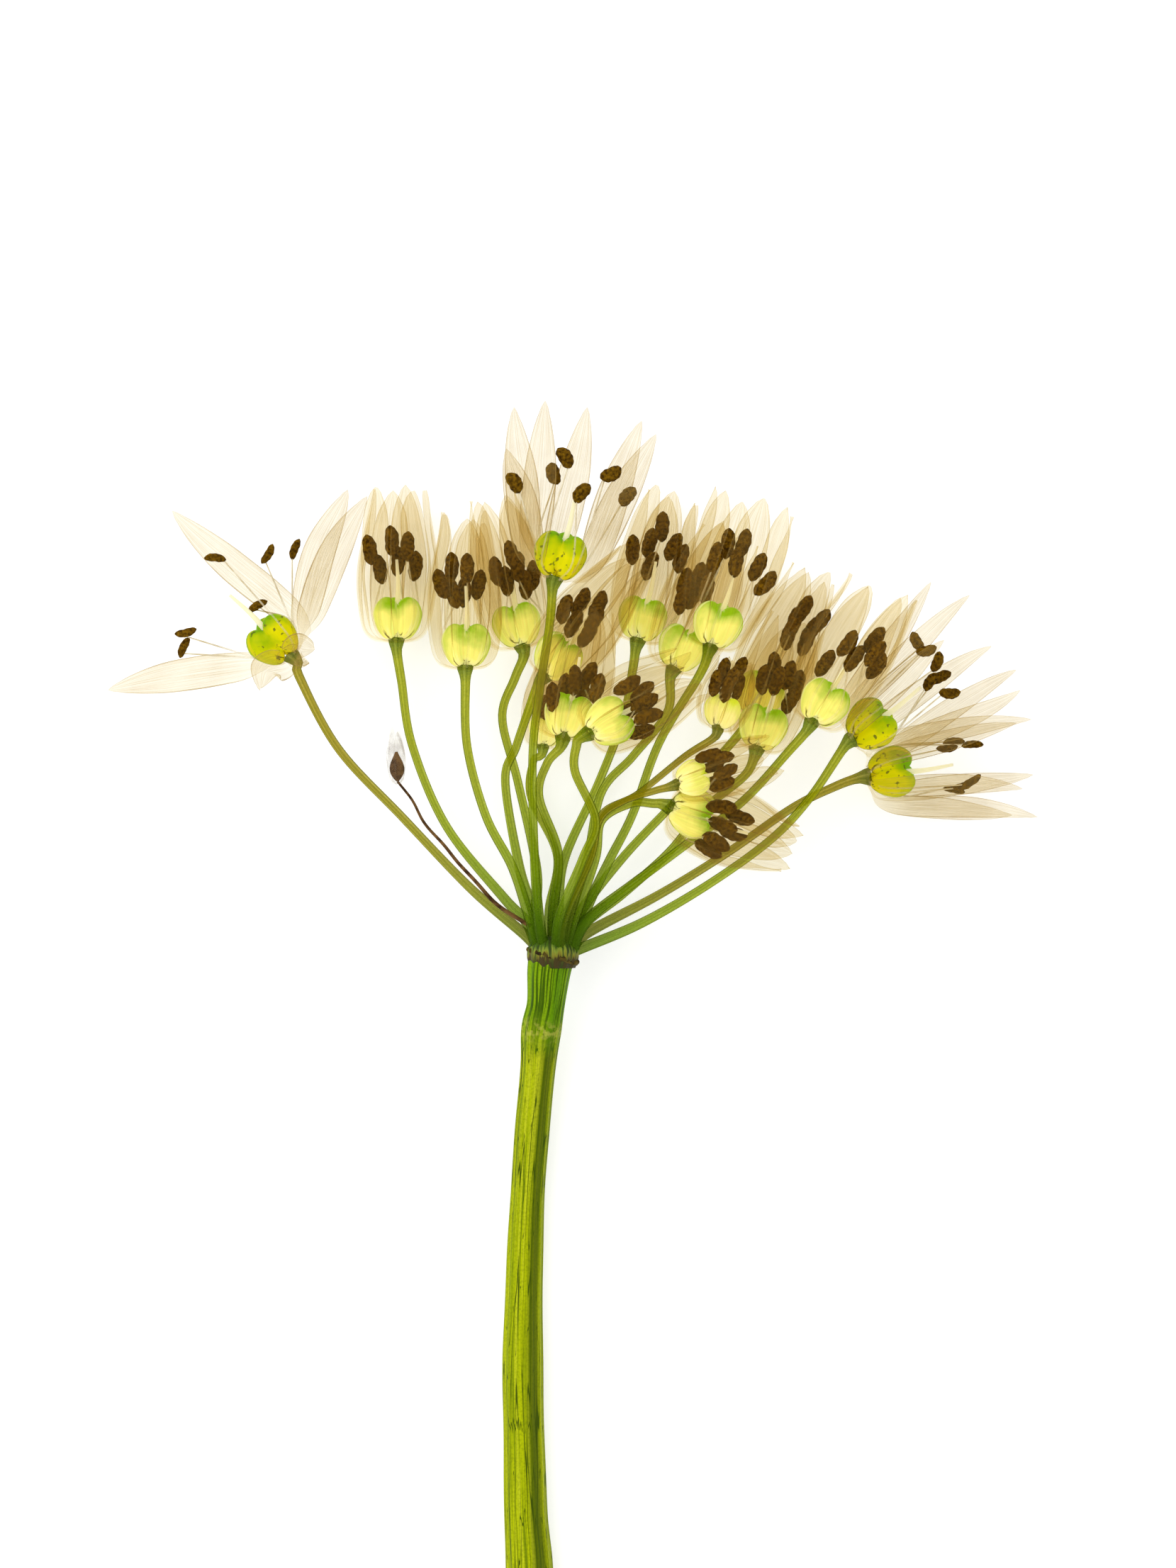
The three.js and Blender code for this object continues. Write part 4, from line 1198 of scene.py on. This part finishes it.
@dataclass
class UmbelBase:
    """The short sleeve on which the flower stalks stand, and the ragged scar below it."""

    sides: int = 72
    scar_radius: float = 1.55

    def build(self, sleeve_finish: bpy.types.Material, scar_finish: bpy.types.Material) -> None:
        """Makes the sleeve, a turned profile with a domed top, and the scar, a torn collar.

        The sleeve's radius carries a ripple of 0.03 * cos(13 * angle). The scar is a ring whose
        thickness and height are broken up by three sines of the angle, and it lies aslant, lower
        towards +X.

        Args:
            sleeve_finish: the streaked sleeve material.
            scar_finish: the brown material.
        """
        centre = BASE_CENTRE + np.array([-0.25, 0.0, 0.0])
        profile = smooth_line([(-1.9, 1.42, 0), (-1.4, 1.6, 0), (-1.0, 1.64, 0), (-0.6, 1.58, 0),
                               (-0.2, 1.3, 0), (0.1, 0.7, 0), (0.16, 0.03, 0)], 30)
        angle = np.linspace(0, 2 * math.pi, self.sides, endpoint=False)[None, :]
        across = profile[:, 1:2] * (1 + 0.03 * np.cos(13 * angle))
        grid = np.stack([centre[0] + across * np.cos(angle),
                         centre[1] + profile[:, :1] + 0 * angle,
                         centre[2] + across * np.sin(angle)], axis=-1)
        sleeve = Surface()
        sleeve.add(grid, np.linspace(0, 1, self.sides + 1), np.linspace(0, 1, 30))
        sleeve.build("umbel_sleeve", sleeve_finish, Slot.BASE, ["umbel_base"])
        rings, steps = 14, 120
        t = np.linspace(0, 2 * math.pi, rings, endpoint=False)[:, None]
        around = np.linspace(0, 2 * math.pi, steps, endpoint=False)[None, :]
        torn = 0.4 * np.sin(7 * around) + 0.3 * np.sin(17 * around + 1) + 0.3 * np.sin(31 * around)
        ring = self.scar_radius + 0.11 * np.cos(t) * (1 + torn)
        along = -1.2 + (0.11 + 0.1 * torn) * np.sin(t) - 0.42 * np.cos(around) + 0.16 * torn
        torus = np.stack([centre[0] + ring * np.cos(around), centre[1] + along,
                          centre[2] + ring * np.sin(around)], axis=-1)
        closed = np.concatenate([torus.transpose(1, 0, 2), torus.transpose(1, 0, 2)[:1]])
        scar = Surface()
        scar.add(closed, np.linspace(0, 1, rings + 1), np.linspace(0, 1, steps + 1))
        scar.build("spathe_scar", scar_finish, Slot.BASE)


@dataclass
class WitheredFlower:
    """The dead flower: a brown core in papery shreds on a thread."""

    rows: int = 60
    thick: float = 0.14
    thin: float = 0.08
    wobble: float = 0.1
    core_reach: tuple = (-0.08, 1.9, 0.0)
    core_end: float = 0.07
    core_swell: float = 0.34
    core_rib: float = 0.16
    shrink: float = 0.36

    def build(self, thread_finish: bpy.types.Material, paper: bpy.types.Material) -> None:
        """Makes the thread with the shrunken core, and the papery shreds round it.

        The core's radius at share v of its length is core_end plus core_swell times
        sin(pi * v^0.8) to the power 1.2. The shreds are the tepals of a small bud, drawn in
        towards its axis.

        Args:
            thread_finish: the brown material of the thread and the core.
            paper: the see-through material of the shreds.
        """
        along = np.linspace(0, 1, self.rows)
        line = smooth_line(THREAD_ROUTE, self.rows)
        line[:, 0] += self.wobble * np.sin(23 * along) * along
        surface = Surface()
        sides = 8
        grid = tube_grid(line, np.linspace(self.thick, self.thin, self.rows), sides)
        surface.add(grid, np.linspace(0, 1, sides + 1), along)
        end = line[-1]
        v = np.linspace(0, 1, 16)
        core_line = end + np.outer(v, self.core_reach)
        profile = self.core_end + self.core_swell * np.sin(math.pi * v**0.8) ** 1.2
        core_sides, core_ribs = 14, 4
        core = tube_grid(core_line, profile, core_sides, core_ribs, self.core_rib)
        surface.add(core, np.linspace(0, 1, core_sides + 1), v)
        surface.build("withered_core", thread_finish, Slot.WITHERED, ["withered_flower"])
        dead = Flower(21, (end[0], end[1] - 0.1, end[2]), -3, 0, roll=10, length=3.3, mouth=0.55,
                      young=True)
        shreds = Surface()
        for tip, out, whorl in dead.targets():
            blade = dead.tepal_grid(tip, out, whorl)
            offset = (blade - dead.foot) @ dead.axis
            shrunk = dead.foot + offset[..., None] * dead.axis
            shrunk = shrunk + (blade - shrunk) * self.shrink
            around = np.linspace(0, 2 * math.pi, blade.shape[1] + 1)
            shreds.add(shrunk, (np.cos(around) + 1) / 2, np.linspace(0, 1, blade.shape[0]))
        shreds.build("withered_tepals", paper, Slot.WITHERED)


# ------------------------------------------------------------------ stage


@dataclass
class Studio:
    """Pale floor, soft light and the camera straight above. Lengths in metres."""

    framed_height: float = 0.1005
    distance: float = 0.6
    subject_height: float = 0.006
    middle: tuple = (0.00105, 0.01479)
    floor_reach: float = 3.0
    floor_drop: float = 0.00005
    floor_tone: float = 0.62
    floor_glow: float = 0.52
    lamp_place: tuple = (-0.35, 0.25, 0.55)
    lamp_turn: tuple = (-24, -32, 0)
    lamp_size: float = 0.5
    lamp_power: float = 1.6
    sensor_width: float = 36.0

    def build(self) -> None:
        """Makes the floor, the lights and the camera."""
        scene = bpy.context.scene
        scene.view_settings.view_transform = "Standard"
        scene.cycles.transparent_max_bounces = 64
        mesh = bpy.data.meshes.new("floor")
        far = self.floor_reach
        mesh.from_pydata([(-far, -far, 0), (far, -far, 0), (far, far, 0), (-far, far, 0)], [],
                         [(0, 1, 2, 3)])
        n = Nodes("pale_floor")
        tone = (self.floor_tone, self.floor_tone, self.floor_tone, 1.0)
        plain = n.add("BsdfPrincipled", {"Base Color": tone, "Roughness": 0.9,
                                         "Specular IOR Level": 0.0,
                                         "Emission Color": (1.0, 1.0, 1.0, 1.0),
                                         "Emission Strength": self.floor_glow})
        mesh.materials.append(n.finish(plain.outputs[0]))
        floor = bpy.data.objects.new("floor", mesh)
        floor.location.z = -self.floor_drop
        scene.collection.objects.link(floor)
        world = bpy.data.worlds.new("studio")
        world.use_nodes = True
        world.node_tree.nodes["Background"].inputs[0].default_value = (1.0, 1.0, 1.0, 1.0)
        world.node_tree.nodes["Background"].inputs[1].default_value = 1.0
        scene.world = world
        light = bpy.data.lights.new("soft_key", "AREA")
        light.size, light.energy = self.lamp_size, self.lamp_power
        key = bpy.data.objects.new("soft_key", light)
        key.location = self.lamp_place
        key.rotation_euler = [math.radians(angle) for angle in self.lamp_turn]
        scene.collection.objects.link(key)
        camera = bpy.data.cameras.new("camera")
        camera.sensor_width = self.sensor_width
        camera.lens = self.sensor_width * self.distance / self.framed_height
        camera.clip_end = 10.0
        eye = bpy.data.objects.new("camera", camera)
        eye.location = (*self.middle, self.subject_height + self.distance)
        scene.collection.objects.link(eye)
        scene.camera = eye


def main() -> None:
    """Builds the whole head."""
    logging.basicConfig(level=logging.INFO, format="%(message)s")
    Studio().build()
    tepals = {
        Openness.BUD: TepalFinish("tepal_young", 0.05).material(),
        Openness.BELL: TepalFinish("tepal_closed", 0.045).material(),
        Openness.STAR: TepalFinish("tepal_open", 0.09, passed=(0.986, 0.974, 0.94),
                                   passed_vein=(0.95, 0.915, 0.82)).material(),
    }
    stamens = {
        Openness.BUD: StamenFinish("stamen_young", 0.25).material(),
        Openness.BELL: StamenFinish("stamen_closed", 0.35).material(),
        Openness.STAR: StamenFinish("stamen_open", 0.95).material(),
    }
    stalks = {
        "green": StalkFinish("stalk_green", (0.22, 0.4, 0.002), (0.52, 0.52, 0.008)).material(),
        "olive": StalkFinish("stalk_olive", (0.27, 0.36, 0.002), (0.45, 0.36, 0.006), 0.56,
                                 (0.86, 0.8, 0.42)).material(),
    }
    # Every ovary finish carries a painted glow: 0.5 unless given, 0.42 (the last number) for the
    # ripe pods.
    ovaries = {
        Openness.BUD: OvaryFinish("ovary_young", (0.98, 0.94, 0.7), (0.95, 0.9, 0.46),
                                  (0.62, 0.74, 0.04)).material(),
        Openness.BELL: OvaryFinish("ovary_fresh", (0.98, 0.94, 0.68), (0.93, 0.88, 0.28),
                                   (0.26, 0.48, 0.0)).material(),
        Openness.STAR: OvaryFinish("ovary_ripe", (0.8, 0.6, 0.012), (0.68, 0.62, 0.0),
                                   (0.17, 0.36, 0.0), 0.85, 0.42).material(),
    }
    Scape().build(ScapeFinish().material())
    UmbelBase().build(
        SleeveFinish().material(),
        GroundFinish("scar_brown", (0.02, 0.012, 0.002), (0.1, 0.07, 0.01), 1500.0).material(),
    )
    WitheredFlower().build(
        GroundFinish("withered_brown", (0.04, 0.015, 0.004), (0.17, 0.085, 0.025),
                     1800.0).material(),
        GroundFinish("withered_paper", (0.36, 0.27, 0.17), (0.2, 0.12, 0.06),
                     1500.0, 0.08).material(),
    )
    for number, (entry, route, sacs) in enumerate(zip(FLOWERS, ROUTES, ANTHERS), 1):
        flower = Flower(number, anthers=sacs, **entry)
        olive = flower.number in OLIVE_STALKS
        flower.build_pedicel(route, stalks["olive" if olive else "green"])
        flower.build_pistil(ovaries[flower.openness])
        flower.build_stamens(stamens[flower.openness])
        flower.build_perianth(tepals[flower.openness])


if __name__ == "__main__":
    main()
